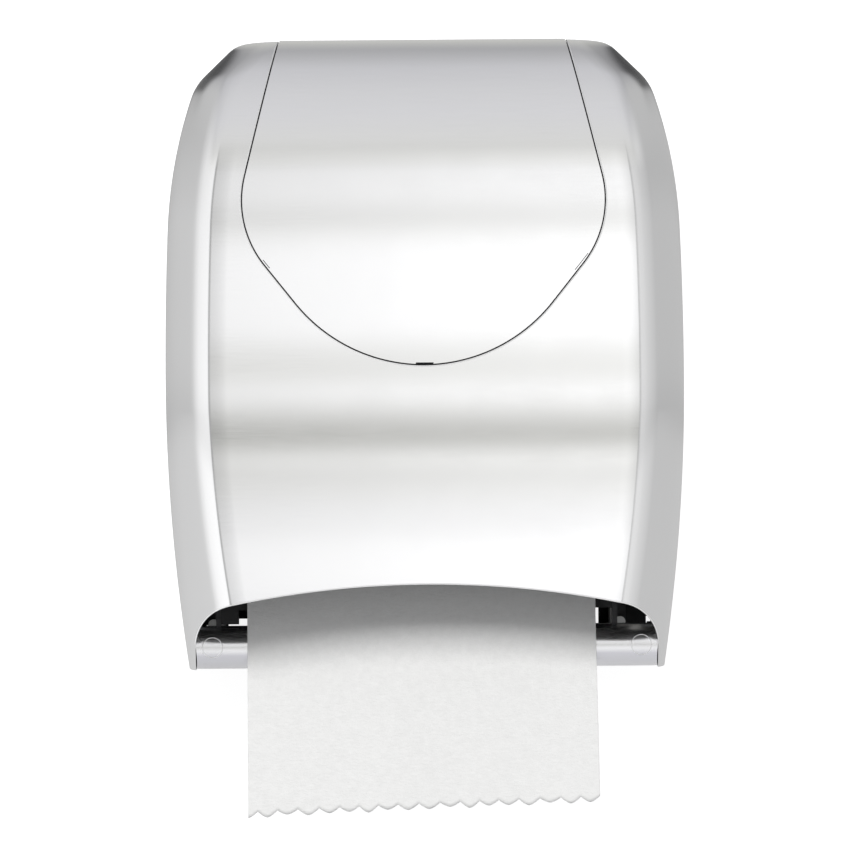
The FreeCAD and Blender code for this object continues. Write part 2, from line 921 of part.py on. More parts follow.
def make_bushes():
    """Flanged bushes that carry the feed shaft in the frames."""
    bore = feed_shaft_radius + running_clearance
    bushes = []
    for x0, flange_x in ((left_frame_x, left_inner_x), (right_frame_x, right_frame_x - bush_flange)):
        sleeve = rod_x(x0, x0 + frame_thickness, feed_y, feed_z, bush_radius)
        flange = rod_x(flange_x, flange_x + bush_flange, feed_y, feed_z, bush_radius + bush_flange_rise)
        hole = rod_x(x0 - 5, x0 + frame_thickness + 5, feed_y, feed_z, bore)
        bushes.append(sleeve.fuse(flange).cut(hole))
    return group(bushes)


def pinch_span():
    return left_inner_x + piece_clearance, right_frame_x - piece_clearance


def make_pinch_frame():
    """Tube turning on the pivot rod, with an arm at each end for the pinch roller."""
    x0, x1 = pinch_span()
    tube = rod_x(x0, x1, pinch_pivot_y, pinch_pivot_z, 2 * pinch_shaft_radius)
    pieces = [tube]
    half = pinch_arm_half_width
    for a0 in (x0, x1 - pinch_arm_thickness):
        a1 = a0 + pinch_arm_thickness
        arm = prism_x(
            [
                (pinch_pivot_y - half, pinch_pivot_z),
                (pinch_pivot_y + half, pinch_pivot_z),
                (pinch_y + half, feed_z),
                (pinch_y - half, feed_z),
            ],
            a0,
            a1,
        )
        pieces.append(arm)
        pieces.append(rod_x(a0, a1, pinch_y, feed_z, half))
    frame = join(pieces)
    bore = pinch_shaft_radius + running_clearance
    frame = frame.cut(rod_x(x0 - 1, x1 + 1, pinch_pivot_y, pinch_pivot_z, bore))
    return frame.cut(rod_x(x0 - 1, x1 + 1, pinch_y, feed_z, pinch_shaft_radius + running_clearance))


def make_pinch_shaft():
    return rod_x(left_frame_x, right_outer_x, pinch_pivot_y, pinch_pivot_z, pinch_shaft_radius)


def make_pinch_roller():
    """Three rings on an axle, pressing the web against the feed roller's sleeves."""
    x0, x1 = pinch_span()
    axle = rod_x(x0, x1, pinch_y, feed_z, pinch_shaft_radius)
    inner0 = x0 + pinch_arm_thickness + piece_clearance
    inner1 = x1 - pinch_arm_thickness - piece_clearance
    pieces = [axle, rod_x(inner0, inner1, pinch_y, feed_z, pinch_radius * 0.6)]
    for i in (-1, 0, 1):
        x = roll_centre_x + i * sleeve_pitch
        pieces.append(rod_x(x - sleeve_width / 2, x + sleeve_width / 2, pinch_y, feed_z, pinch_radius))
    return join(pieces)


def coil(x, y, z, axis, mean_radius, wire, turns):
    """A wound wire spring in short straight steps, with its two legs, along X or upright."""
    pitch = spring_pitch * wire
    points = [V(mean_radius, -spring_leg, 0)]
    for i in range(turns * spring_steps + 1):
        angle = 2 * math.pi * i / spring_steps
        x_step = mean_radius * math.cos(angle)
        y_step = mean_radius * math.sin(angle)
        points.append(V(x_step, y_step, pitch * i / spring_steps))
    points.append(V(mean_radius, spring_leg, pitch * turns))
    corners = []
    for i in range(7):
        angle = math.pi * i / 3
        corners.append(points[0] + V(math.cos(angle), 0, math.sin(angle)) * (wire / 2))
    section = Part.Wire(Part.makePolygon(corners).Edges)
    spring = Part.Wire(Part.makePolygon(points).Edges).makePipeShell([section], True, False, 1)
    if axis == "x":
        spring.rotate(V(0, 0, 0), V(0, 1, 0), 90)
    spring.translate(V(x, y, z))
    return spring


def make_pinch_springs():
    radius = 2 * pinch_shaft_radius + piece_clearance + spring_wire
    x0, x1 = pinch_span()
    length = spring_wire * spring_pitch * spring_turns
    starts = (x0 + pinch_arm_thickness + 2, x1 - pinch_arm_thickness - 2 - length)
    springs = []
    for x in starts:
        springs.append(coil(x, pinch_pivot_y, pinch_pivot_z, "x", radius, spring_wire, spring_turns))
    return group(springs)


# Drive


def gear(teeth, module, thickness, x0, y, z, phase):
    """Spur gear with involute flanks and shortened teeth, its axis along X."""
    pitch_r = teeth * module / 2
    base_r = pitch_r * math.cos(radians(pressure_angle))
    tip_r = pitch_r + addendum_share * module
    root_r = pitch_r - dedendum_share * module
    half_tooth = math.pi / 2 / teeth - backlash / 4 / pitch_r

    def involute(r):
        turn = math.acos(min(base_r / r, 1.0))
        return math.tan(turn) - turn

    start_r = max(root_r, base_r)
    levels = [start_r, pitch_r, tip_r]
    offsets = [half_tooth + involute(pitch_r) - involute(r) for r in levels]
    flank = [(root_r, offsets[0] * root_flare)] + list(zip(levels, offsets))
    if start_r == root_r:
        flank = flank[1:]
    points = []
    for i in range(teeth):
        middle = phase + 2 * math.pi * i / teeth
        for r, off in flank:
            points.append((r, middle - off))
        for r, off in reversed(flank):
            points.append((r, middle + off))
    return prism_x([(y + r * math.cos(a), z + r * math.sin(a)) for r, a in points], x0, x0 + thickness)


def drive_places():
    """Centres (y, z) of the roller gear, the idler and the pinion."""
    second = (idler_small_teeth + roller_gear_teeth) * second_module / 2
    first = (pinion_teeth + idler_large_teeth) * first_module / 2
    a, b = radians(idler_direction), radians(motor_direction)
    idler = (feed_y + second * math.cos(a), feed_z + second * math.sin(a))
    motor = (idler[0] + first * math.cos(b), idler[1] + first * math.sin(b))
    return (feed_y, feed_z), idler, motor


def first_gear_x():
    return right_outer_x + gear_gap


def second_gear_x():
    return first_gear_x() + gear_width + gear_gap


def gear_end_x():
    return second_gear_x() + gear_width + 1


def make_roller_gear():
    (y, z), _, _ = drive_places()
    x0 = second_gear_x()
    wheel = gear(roller_gear_teeth, second_module, gear_width, x0, y, z, radians(idler_direction))
    outer = roller_gear_teeth * second_module / 2 - roller_gear_rim
    web = tube_x(x0 + gear_width / 2 + 1, x0 + gear_width, y, z, outer, 2 * feed_shaft_radius)
    return wheel.cut(web).cut(rod_x(x0 - 1, x0 + gear_width + 1, y, z, feed_shaft_radius))


def make_idler_gear():
    """Large and small gear moulded in one piece."""
    _, (y, z), _ = drive_places()
    small_phase = radians(idler_direction) + math.pi + math.pi / idler_small_teeth
    large_phase = radians(motor_direction)
    large = gear(idler_large_teeth, first_module, gear_width, first_gear_x(), y, z, large_phase)
    x0 = second_gear_x()
    small = gear(idler_small_teeth, second_module, gear_width + gear_gap, x0 - gear_gap, y, z, small_phase)
    outer = idler_large_teeth * first_module / 2 - idler_gear_rim
    hub = 2.5 * idler_shaft_radius
    recess = tube_x(first_gear_x() - 1, first_gear_x() + gear_width / 2, y, z, outer, hub)
    bore = rod_x(first_gear_x() - 1, gear_end_x() + 1, y, z, idler_shaft_radius + running_clearance)
    return large.fuse(small).cut(recess).cut(bore)


def make_idler_shaft():
    _, (y, z), _ = drive_places()
    return rod_x(right_frame_x, second_gear_x() + gear_width + 2, y, z, idler_shaft_radius)


def make_pinion():
    _, _, (y, z) = drive_places()
    phase = radians(motor_direction) + math.pi + math.pi / pinion_teeth
    wheel = gear(pinion_teeth, first_module, gear_width, first_gear_x(), y, z, phase)
    shaft = rod_x(motor_end_x(), first_gear_x() + gear_width, y, z, motor_shaft_radius)
    return wheel.fuse(shaft)


def motor_end_x():
    return right_frame_x - bracket_thickness


def make_motor():
    """Can with a stepped rear cap, a front boss and a hole for its own turning shaft."""
    _, _, (y, z) = drive_places()
    x1 = motor_end_x()
    x0 = x1 - motor_length
    can = rod_x(x0 + motor_cap, x1, y, z, motor_radius)
    can = can.common(block(x0, x1, y - motor_radius, y + motor_radius, z - motor_flat, z + motor_flat))
    cap = rod_x(x0, x0 + motor_cap, y, z, motor_radius * motor_cap_share)
    return can.fuse(cap)


def make_motor_bracket():
    """Plate between the motor and the frame, folded under the can."""
    _, _, (y, z) = drive_places()
    x1 = right_frame_x
    x0 = x1 - bracket_thickness
    half = motor_radius + bracket_margin
    plate = block(x0, x1, y - half, y + half, z - half, z + half)
    shelf = block(x1 - bracket_shelf, x1, y - half, y + half, z - half, z - half + bracket_thickness)
    return plate.fuse(shelf).cut(rod_x(x0 - 1, x1 + 1, y, z, 2 * motor_shaft_radius))


# Supply roll, its core, arms, hubs and pins


def make_paper_roll():
    return tube_x(roll_x0, roll_x1, roll_y, roll_z, roll_radius, core_radius + core_wall)


def make_core():
    return tube_x(roll_x0, roll_x1, roll_y, roll_z, core_radius + core_wall, core_radius)


def make_hub(side):
    """Disc against the roll's end with a tapered spigot in the core and an axle in the arm."""
    end = roll_x0 if side < 0 else roll_x1
    out = V(side, 0, 0)
    face = end + side * hub_gap
    flange = Part.makeCylinder(hub_flange_radius, hub_flange_thickness, V(face, roll_y, roll_z), out)
    length = hub_spigot_length + hub_gap
    spigot = Part.makeCone(hub_base_radius, hub_tip_radius, length, V(face, roll_y, roll_z), out * -1)
    tip = V(face - side * (length + 1), roll_y, roll_z)
    hollow = Part.makeCylinder(hub_tip_radius - hub_wall, length + 1, tip, out)
    axle_start = face + side * hub_flange_thickness
    axle_length = piece_clearance + arm_thickness + hub_axle_end
    axle = Part.makeCylinder(hub_axle_radius, axle_length, V(axle_start, roll_y, roll_z), out)
    return flange.fuse(spigot).cut(hollow).fuse(axle)


def make_arm(side):
    """Tapered plate from the upright knuckle to the hub's axle."""
    end = roll_x0 if side < 0 else roll_x1
    near = end + side * arm_gap
    far = near + side * arm_thickness
    x0, x1 = sorted((near, far))
    half = arm_height / 2
    outline = [
        (arm_pivot_y + knuckle_radius - 1, roll_z - half),
        (arm_pivot_y + knuckle_radius - 1, roll_z + half),
        (roll_y, roll_z + arm_end_radius),
        (roll_y, roll_z - arm_end_radius),
    ]
    plate = prism_x(outline, x0, x1).fuse(rod_x(x0, x1, roll_y, roll_z, arm_end_radius))
    opening = []
    for y, z in outline:
        slot_y = y * arm_slot_length_share + arm_slot_shift
        opening.append((slot_y, roll_z + (z - roll_z) * arm_slot_height_share))
    plate = plate.cut(prism_x(opening, x0 - 1, x1 + 1))
    axis = arm_axis_x(side)
    knuckle = rod_z(axis, arm_pivot_y, roll_z - half, roll_z + half, knuckle_radius)
    k0, k1 = sorted((axis, far - side))
    reach = knuckle_radius - 1
    bridge = block(k0, k1, arm_pivot_y - reach, arm_pivot_y + reach, roll_z - half, roll_z + half)
    arm = join([plate, knuckle, bridge])
    bore = arm_pin_radius + running_clearance
    arm = arm.cut(rod_z(axis, arm_pivot_y, roll_z - half - 1, roll_z + half + 1, bore))
    return arm.cut(rod_x(x0 - 5, x1 + 5, roll_y, roll_z, hub_axle_radius + running_clearance))


def make_arm_pins():
    """Upright pins through both ears, longer at the top to carry the springs."""
    low, high = ear_levels()
    top = high + ear_thickness + spring_wire * spring_pitch * (spring_turns + 1) + 2
    pins = []
    for side in (-1, 1):
        x = arm_axis_x(side)
        pin = rod_z(x, arm_pivot_y, low, top, arm_pin_radius)
        head = rod_z(x, arm_pivot_y, top, top + arm_pin_head_height, arm_pin_radius + arm_pin_head)
        pins.append(pin.fuse(head))
    return group(pins)


def make_arm_springs():
    radius = arm_pin_radius + piece_clearance + spring_wire / 2
    z = ear_levels()[1] + ear_thickness + spring_wire / 2 + 0.1
    springs = []
    for side in (-1, 1):
        springs.append(coil(arm_axis_x(side), arm_pivot_y, z, "z", radius, spring_wire, spring_turns))
    return group(springs)


# Paper between the roll and the torn edge


def web_tangent():
    """Normal angle of the straight run that leaves the roll's rear and lands on the feed roller."""
    dy, dz = feed_y - roll_y, feed_z - roll_z
    reach = math.acos((roll_radius + piece_clearance + web_thickness / 2 + web_radius) / math.hypot(dy, dz))
    return math.atan2(dz, dy) + reach


def web_point(angle, centre_y, centre_z, radius):
    return centre_y + radius * math.cos(angle), centre_z + radius * math.sin(angle)


def make_web():
    """Straight run under the roll, then the wrap over the feed roller's front."""
    angle = web_tangent()
    half = web_thickness / 2
    r = roll_radius + piece_clearance + half
    start_in = web_point(angle, roll_y, roll_z, r - half)
    start_out = web_point(angle, roll_y, roll_z, r + half)
    land = angle + math.pi
    end_out = web_point(land, feed_y, feed_z, web_radius + half)
    end_in = web_point(land, feed_y, feed_z, web_radius - half)
    run = prism_x([start_in, start_out, end_in, end_out], roll_x0, roll_x1)
    ring = tube_x(roll_x0, roll_x1, feed_y, feed_z, web_radius + half, web_radius - half)
    far = 3 * feed_radius
    wedge = prism_x(
        [
            (feed_y, feed_z),
            web_point(land, feed_y, feed_z, far),
            web_point((land + math.pi) / 2, feed_y, feed_z, far),
            web_point(math.pi, feed_y, feed_z, far),
        ],
        roll_x0,
        roll_x1,
    )
    return run.fuse(ring.common(wedge))


def make_towel():
    """Sheet that drops from the nip past the bar, with a scalloped edge torn slightly askew."""
    half = web_thickness / 2
    nip_y = feed_y - web_radius
    lean = prism_x(
        [
            (nip_y - half, feed_z),
            (nip_y + half, feed_z),
            (hang_y + half, hang_start_z),
            (hang_y - half, hang_start_z),
        ],
        roll_x0,
        roll_x1,
    )
    count = round(roll_width / tear_pitch)
    step = roll_width / count
    slope = (torn_right_z - torn_left_z) / roll_width
    notches = [V(roll_x0 + i * step, hang_y - half, torn_left_z + slope * i * step) for i in range(count + 1)]
    edges = []
    for a, b in zip(notches, notches[1:]):
        low = (a + b) * 0.5 - V(0, 0, tear_depth)
        edges.append(Part.Arc(a, low, b).toShape())
    right = V(roll_x1, hang_y - half, hang_start_z)
    left = V(roll_x0, hang_y - half, hang_start_z)
    edges.append(Part.LineSegment(notches[-1], right).toShape())
    edges.append(Part.LineSegment(right, left).toShape())
    edges.append(Part.LineSegment(left, notches[0]).toShape())
    hanging = Part.Face(Part.Wire(edges)).extrude(V(0, web_thickness, 0))
    return lean.fuse(hanging)


# Power


def battery_span():
    """Box limits: half width, front y, low z and high z."""
    half = cell_length + cell_gap + box_wall
    front = -plate_thickness - box_wall - 2 * cell_radius - cell_gap
    high = box_bottom_z + 2 * box_wall + 4 * cell_radius + 3 * cell_gap
    return half, front, box_bottom_z, high


def cell_rows():
    low = box_bottom_z + box_wall + cell_gap + cell_radius
    return (low, low + 2 * cell_radius + cell_gap)


def make_battery_box():
    """Tray for four cells, open in front, with two channels that the door slides in."""
    half, front, low, high = battery_span()
    shell = block(-half, half, front, -plate_thickness, low, high)
    hollow = block(
        -half + box_wall,
        half - box_wall,
        front - 1,
        -plate_thickness - box_wall,
        low + box_wall,
        high - box_wall,
    )
    shell = shell.cut(hollow)
    rails = []
    for side in (-1, 1):
        inner, outer = side * (half - rail_width), side * (half + box_wall)
        x0, x1 = sorted((inner, outer))
        y0 = front - door_thickness - 2 * running_clearance - box_wall
        rail = block(x0, x1, y0, front + box_wall, low, high)
        g0, g1 = sorted((inner - side, side * half))
        groove = block(g0, g1, y0 + box_wall, front + box_wall + 1, low - 1, high + 1)
        rails.append(rail.cut(groove))
    reach = half + box_wall
    stop = block(-reach, reach, front - door_thickness - box_wall, front + box_wall, low - box_wall, low)
    return join([shell, stop] + rails)


def make_battery_door():
    half, front, low, high = battery_span()
    y0 = front - door_thickness - running_clearance
    edge = half - running_clearance
    door = block(-edge, edge, y0, front - running_clearance, low + running_clearance, high)
    grips = []
    for i in range(grip_count):
        z = high - grip_top_gap - grip_pitch * i
        grip = block(-grip_half_width, grip_half_width, y0 - grip_proud, y0, z, z + grip_height)
        grips.append(grip)
    return join([door] + grips)


def make_cells():
    """Four cells in two rows, each with its raised end."""
    y = -plate_thickness - box_wall - cell_radius - cell_gap / 2
    cells = []
    for row, z in enumerate(cell_rows()):
        turn = 1 if row == 0 else -1
        for start in (-cell_length, 0.0):
            body0 = start + (turn < 0) * cell_pip_height
            body1 = start + cell_length - (turn > 0) * cell_pip_height
            body = rod_x(body0, body1, y, z, cell_radius)
            cells.append(body.fuse(rod_x(start, start + cell_length, y, z, cell_pip_radius)))
    return group(cells)


def make_contacts():
    """Flat contact plates at the box's ends."""
    half, _, _, _ = battery_span()
    y = -plate_thickness - box_wall - cell_radius - cell_gap / 2
    wall = half - box_wall
    plates = []
    for z in cell_rows():
        for side in (-1, 1):
            x0, x1 = sorted((side * wall, side * (wall - contact_thickness)))
            reach = contact_half
            plates.append(block(x0, x1, y - reach, y + reach, z - reach, z + reach))
            b0, b1 = sorted((side * (wall - contact_thickness), side * cell_length))
            plates[-1] = plates[-1].fuse(rod_x(b0, b1, y, z, contact_pip_radius))
    return group(plates)


# Control


def board_face_y():
    return -plate_thickness - standoff_height - board_thickness


def make_board():
    """Circuit board on four posts."""
    y0 = board_face_y()
    x0, x1 = board_x - board_width / 2, board_x + board_width / 2
    z0, z1 = board_z - board_height / 2, board_z + board_height / 2
    board = block(x0, x1, y0, y0 + board_thickness, z0, z1)
    posts = []
    for x in (x0 + post_inset, x1 - post_inset):
        for z in (z0 + post_inset, z1 - post_inset):
            posts.append(rod_y(x, y0 + board_thickness, -plate_thickness, z, post_radius))
    return join([board] + posts)


def button_place():
    return board_x + board_width / 4, board_z + board_height / 2 - button_below_edge


def selector_place():
    return board_x, board_z + board_height / 2 - selector_below_edge


def make_components():
    """Button housing, selector body, processor, two capacitors, a relay and a plug socket."""
    y1 = board_face_y()
    bx, bz = button_place()
    sx, sz = selector_place()
    half = button_housing_half
    housing = block(bx - half, bx + half, y1 - button_body, y1, bz - half, bz + half)
    housing = housing.cut(rod_y(bx, y1 - button_body - 1, y1 - 1, bz, button_radius + running_clearance))
    reach = selector_travel + selector_width / 2 + running_clearance
    side, half = reach + 2, selector_half
    selector = block(sx - side, sx + side, y1 - selector_height, y1, sz - half, sz + half)
    slot_half = 1.5 + running_clearance
    slot = block(sx - reach, sx + reach, y1 - 6, y1 - 2, sz - slot_half, sz + slot_half)
    pieces = [
        housing,
        selector.cut(slot),
        block(board_x - 6, board_x + 6, y1 - 1.5, y1, board_z - 10, board_z + 2),
        rod_y(board_x - 12, y1 - 11, y1, board_z - 8, 3.5),
        rod_y(board_x - 12, y1 - 11, y1, board_z - 18, 3.5),
        block(board_x + 2, board_x + 15, y1 - 9, y1, board_z - 26, board_z - 14),
        block(board_x - 12, board_x - 2, y1 - 7, y1, board_z - 29, board_z - 24),
    ]
    return group(pieces)


def make_button():
    """Plunger that stands out of its housing by more than its travel."""
    y1 = board_face_y()
    x, z = button_place()
    back = y1 - 1 - button_travel - running_clearance
    return rod_y(x, y1 - button_body - 2 * button_travel, back, z, button_radius)


def make_button_spring():
    """Domed leaf under the plunger, its rim on the housing's floor."""
    y1 = board_face_y()
    x, z = button_place()
    radius = button_radius * 0.6
    dome = Part.makeCone(radius, radius / 2, dome_rise, V(x, y1 - 1, z), V(0, -1, 0))
    under = Part.makeCone(radius - 0.4, radius / 2 - 0.4, dome_rise, V(x, y1 - 0.7, z), V(0, -1, 0))
    return dome.cut(under)


def make_selector():
    y1 = board_face_y()
    x, z = selector_place()
    half = selector_width / 2
    foot = block(x - half, x + half, y1 - 8, y1 - 2 - running_clearance, z - 1.5, z + 1.5)
    return foot


# Sensing lever for the end of the roll


def lever_places():
    """Pivot and nose (y, z) of the lever, both under the web's straight run."""
    angle = web_tangent()
    start = web_point(angle, roll_y, roll_z, roll_radius)
    end = web_point(angle + math.pi, feed_y, feed_z, web_radius)
    below = (math.cos(angle), math.sin(angle))

    def at(share, drop):
        y = start[0] + (end[0] - start[0]) * share + below[0] * drop
        z = start[1] + (end[1] - start[1]) * share + below[1] * drop
        return y, z

    nose_drop = lever_nose_radius + web_thickness + 2 * piece_clearance
    return at(lever_pivot_share, lever_pivot_drop), at(lever_nose_share, nose_drop)


def make_lever():
    """Arm with a round nose against the web, and a short tail over the switch."""
    (py, pz), (ny, nz) = lever_places()
    x0, x1 = lever_x - lever_width / 2, lever_x + lever_width / 2
    run = math.hypot(ny - py, nz - pz)
    uy, uz = (ny - py) / run, (nz - pz) / run
    half = lever_shaft_radius + lever_boss_wall
    arm = prism_x(
        [
            (py - uz * half, pz + uy * half),
            (py + uz * half, pz - uy * half),
            (ny + uz * lever_tip_half, nz - uy * lever_tip_half),
            (ny - uz * lever_tip_half, nz + uy * lever_tip_half),
        ],
        x0,
        x1,
    )
    boss = rod_x(x0 - lever_boss_side, x1 + lever_boss_side, py, pz, half)
    nose = rod_x(x0 - lever_nose_side, x1 + lever_nose_side, ny, nz, lever_nose_radius)
    lever = join([arm, boss, nose])
    return lever.cut(rod_x(x0 - 3, x1 + 3, py, pz, lever_shaft_radius))


def make_lever_shaft():
    (y, z), _ = lever_places()
    return rod_x(left_frame_x - 1, right_outer_x, y, z, lever_shaft_radius)


def make_microswitch():
    """Snap switch on the left frame, below the lever's shaft, with its small plunger."""
    (y, z), _ = lever_places()
    x0 = left_inner_x
    top = z - switch_drop
    reach = switch_half_length
    body = block(x0, x0 + switch_width, y - reach, y + reach, top - switch_height, top)
    plunger = block(x0 + 2, x0 + 4.5, y - 6, y - 3, top, top + 1.5)
    return body.fuse(plunger)


# Lock


def cam_top_z():
    return housing_half_height - lock_depth


def make_lock_body():
    """Barrel in the cover's top, with a keyway and a nut under the wall."""
    barrel = rod_z(0, lock_y, cam_top_z(), housing_half_height, lock_radius)
    under = housing_half_height - cover_wall
    corners = []
    for k in range(7):
        angle = k * math.pi / 3
        y = lock_y + nut_radius * math.sin(angle)
        corners.append(V(nut_radius * math.cos(angle), y, under - nut_height))
    nut = Part.Face(Part.makePolygon(corners)).extrude(V(0, 0, nut_height - 0.1))
    keyway = block(
        -keyway_half_width,
        keyway_half_width,
        lock_y - keyway_half_length,
        lock_y + keyway_half_length,
        housing_half_height - keyway_depth,
        housing_half_height + 1,
    )
    return barrel.fuse(nut).cut(keyway)


def make_lock_cam():
    """Blade under the barrel, pointing to the wall while the lock is open."""
    z1 = cam_top_z()
    z0 = z1 - cam_thickness
    blade = block(-cam_width / 2, cam_width / 2, lock_y, lock_y + cam_length, z0, z1)
    return blade.fuse(rod_z(0, lock_y, z0, z1, cam_width * 0.8))


def make_latch():
    """Bracket on the back plate whose upright post stands in front of the turned cam."""
    z1 = cam_top_z() - cam_thickness - latch_drop
    z0 = z1 - latch_thickness
    post_y = lock_y - cam_width / 2 - 1
    x0 = lock_radius + latch_post_gap
    x1 = x0 + latch_post_width
    shelf = block(-x1, x1, post_y - latch_thickness, -plate_thickness, z0, z1)
    post = block(x0, x1, post_y - latch_thickness, post_y, z1, cam_top_z())
    foot = block(-x1, x1, -plate_thickness - latch_thickness, -plate_thickness, z0 - latch_foot, z0)
    return join([shelf, post, foot])


def make_chassis_screws():
    """Pan-head screws through the side frames' feet, down to the back plate."""
    screws = []
    for x, z in foot_screw_places():
        y = -2 * plate_thickness
        head = rod_y(x, y - 2, y, z, screw_head_radius)
        screws.append(head.fuse(rod_y(x, y, -plate_thickness, z, screw_size / 2)))
    return group(screws)


def foot_screw_places():
    middle = (frame_foot - frame_thickness) / 2
    height = frame_top_z - tray_z
    levels = [tray_z + height * share for share in (0.12, 0.5, 0.88)]
    return [(x, z) for x in (left_frame_x - middle, right_outer_x + middle) for z in levels]


def build():
    outer = housing_form(0.0, -housing_half_height, 0.0)
    inner = housing_form(cover_wall, -housing_half_height - 5, 5.0)
    raised = housing_form(-insert_stand_out, -housing_half_height, 0.0)
    ledge = housing_form(cover_wall + bib_flange_thickness, -housing_half_height - 6, 6.0)
    plate_form = housing_form(plate_inset, plate_low_z, 5.0)
    rim_inset = plate_inset + plate_flange_thickness
    plate_hollow = housing_form(rim_inset, rim_inset - housing_half_height, 0.0)
    bar_hollow = housing_form(cover_wall + running_clearance, -housing_half_height - 5, 5.0)

    keep("cover_shell", make_cover(outer, inner))
    keep("cover_insert", make_insert(raised, inner, ledge))
    keep("nose_bar", make_bar(bar_hollow))
    keep("nose_bar_plugs", make_plugs())
    keep("cover_hinge_pins", make_hinge_pins())
    keep("back_plate", make_back_plate(plate_form, plate_hollow))
    frame_holes = make_frame_holes()
    keep("left_side_frame", make_side_frame(left_inner_x, -1).cut(frame_holes))
    keep("right_side_frame", make_side_frame(right_frame_x, 1).cut(frame_holes))
    keep("bottom_tray", make_tray())
    keep("sensor_plate", make_sensor_plate())
    keep("blade_bar", make_blade_bar())
    keep("tear_blade", make_blade())
    keep("blade_screws", make_blade_screws())
    keep("feed_roller", make_feed_roller())
    keep("feed_roller_sleeves", make_sleeves())
    keep("feed_bushes", make_bushes())
    keep("pinch_frame", make_pinch_frame())
    keep("pinch_shaft", make_pinch_shaft())
    keep("pinch_roller", make_pinch_roller())
    keep("pinch_springs", make_pinch_springs())
    keep("roller_gear", make_roller_gear())
    keep("idler_gear", make_idler_gear())
    keep("idler_shaft", make_idler_shaft())
    keep("motor_pinion", make_pinion())
    keep("motor", make_motor())
    keep("motor_bracket", make_motor_bracket())
    keep("paper_roll", make_paper_roll())
    keep("paper_core", make_core())
    keep("left_hub", make_hub(-1))
    keep("right_hub", make_hub(1))
    keep("left_roll_arm", make_arm(-1))
    keep("right_roll_arm", make_arm(1))
    keep("arm_pins", make_arm_pins())
    keep("arm_springs", make_arm_springs())
    keep("paper_web", make_web())
    keep("towel_sheet", make_towel())
    keep("battery_box", make_battery_box())
    keep("battery_door", make_battery_door())
    keep("battery_cells", make_cells())
    keep("battery_contacts", make_contacts())
    keep("circuit_board", make_board())
    keep("board_components", make_components())
    keep("feed_button", make_button())
    keep("button_spring", make_button_spring())
    keep("length_selector", make_selector())
    keep("sensing_lever", make_lever())
    keep("lever_shaft", make_lever_shaft())
    keep("microswitch", make_microswitch())
    keep("lock_body", make_lock_body())
    keep("lock_cam", make_lock_cam())
    keep("latch", make_latch())
    keep("chassis_screws", make_chassis_screws())


def make_frame_holes():
    """Everything that passes through either side frame."""
    _, idler, motor = drive_places()
    lever, _ = lever_places()
    holes = [
        rod_x(left_frame_x - 1, right_outer_x + 1, feed_y, feed_z, bush_radius),
        rod_x(left_frame_x - 1, right_outer_x + 1, pinch_pivot_y, pinch_pivot_z, pinch_shaft_radius),
        rod_x(left_frame_x - 1, right_outer_x + 1, *lever, lever_shaft_radius + running_clearance),
        rod_x(right_frame_x - 1, right_outer_x + 1, *idler, idler_shaft_radius),
        rod_x(right_frame_x - 1, right_outer_x + 1, *motor, 2 * motor_shaft_radius),
    ]
    for x, z in foot_screw_places():
        holes.append(rod_y(x, -2 * plate_thickness - 1, -plate_thickness + 1, z, screw_size / 2))
    return group(holes)


os.makedirs("parts", exist_ok=True)
build()
for name, shape in parts.items():
    shape.exportStep("parts/" + name + ".step")
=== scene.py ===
import math

import bmesh
import bpy
import numpy as np
from mathutils import Matrix, Vector
from mathutils.bvhtree import BVHTree


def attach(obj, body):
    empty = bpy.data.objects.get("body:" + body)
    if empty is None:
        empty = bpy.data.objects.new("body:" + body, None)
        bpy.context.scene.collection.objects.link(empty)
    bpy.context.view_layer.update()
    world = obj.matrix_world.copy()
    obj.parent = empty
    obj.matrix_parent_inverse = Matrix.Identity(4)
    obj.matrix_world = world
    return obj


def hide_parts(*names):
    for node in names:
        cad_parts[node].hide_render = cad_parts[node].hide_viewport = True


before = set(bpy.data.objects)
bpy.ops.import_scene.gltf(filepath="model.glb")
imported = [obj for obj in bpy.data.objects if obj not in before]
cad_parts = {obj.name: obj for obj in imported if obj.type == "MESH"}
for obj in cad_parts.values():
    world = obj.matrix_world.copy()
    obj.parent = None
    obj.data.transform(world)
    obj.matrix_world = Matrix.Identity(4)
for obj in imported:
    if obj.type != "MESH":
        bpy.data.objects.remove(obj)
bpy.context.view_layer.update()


# Silver cover
# One thin plastic moulding, drawn in softly from the wall to a flat front and arched out at its foot.
# Its satin silver film has a fine sideways brush, and is rolled into fine beads along the cut edges; the
# beads wear a lighter silver, a painted highlight.
# A thin black ledge runs behind the front panel's seam.

cover_half_width = 0.14925
cover_half_height = 0.1796
cover_widest_z = -0.015
cover_depth = 0.2316
cover_deepest_z = -0.044
front_arc = 0.495
shoulder_arc = 0.110
cover_wall = 0.003
wall_gap = 0.004
arch_top_z = -0.1308
arch_radius = 0.540
mouth_half = 0.1315
mouth_corner = 0.025
bar_front_y = -0.162
bar_radius = 0.01225
hinge_corner = 0.016
lower_arc = 1.1
upper_arcs = ((2.2, 0.0, 2.25), (0.28, 2.25, 18.3), (0.0315, 18.3, 45.0))  # radius, turned from and to
facet_lean = math.radians(45.0)
crown_corner = 0.016
crease_arc, crease_mid_z, crease_half_width = 0.9, 0.010, 0.1305
crease_low_z = arch_top_z - 0.010
crease_inset = 0.0196
side_power = 4
front_corner = 0.012
silver_tint, silver_rough = (0.90, 0.90, 0.905, 1.0), (0.09, 0.15)
past = 0.01  # how far a cutting tool runs out past the form


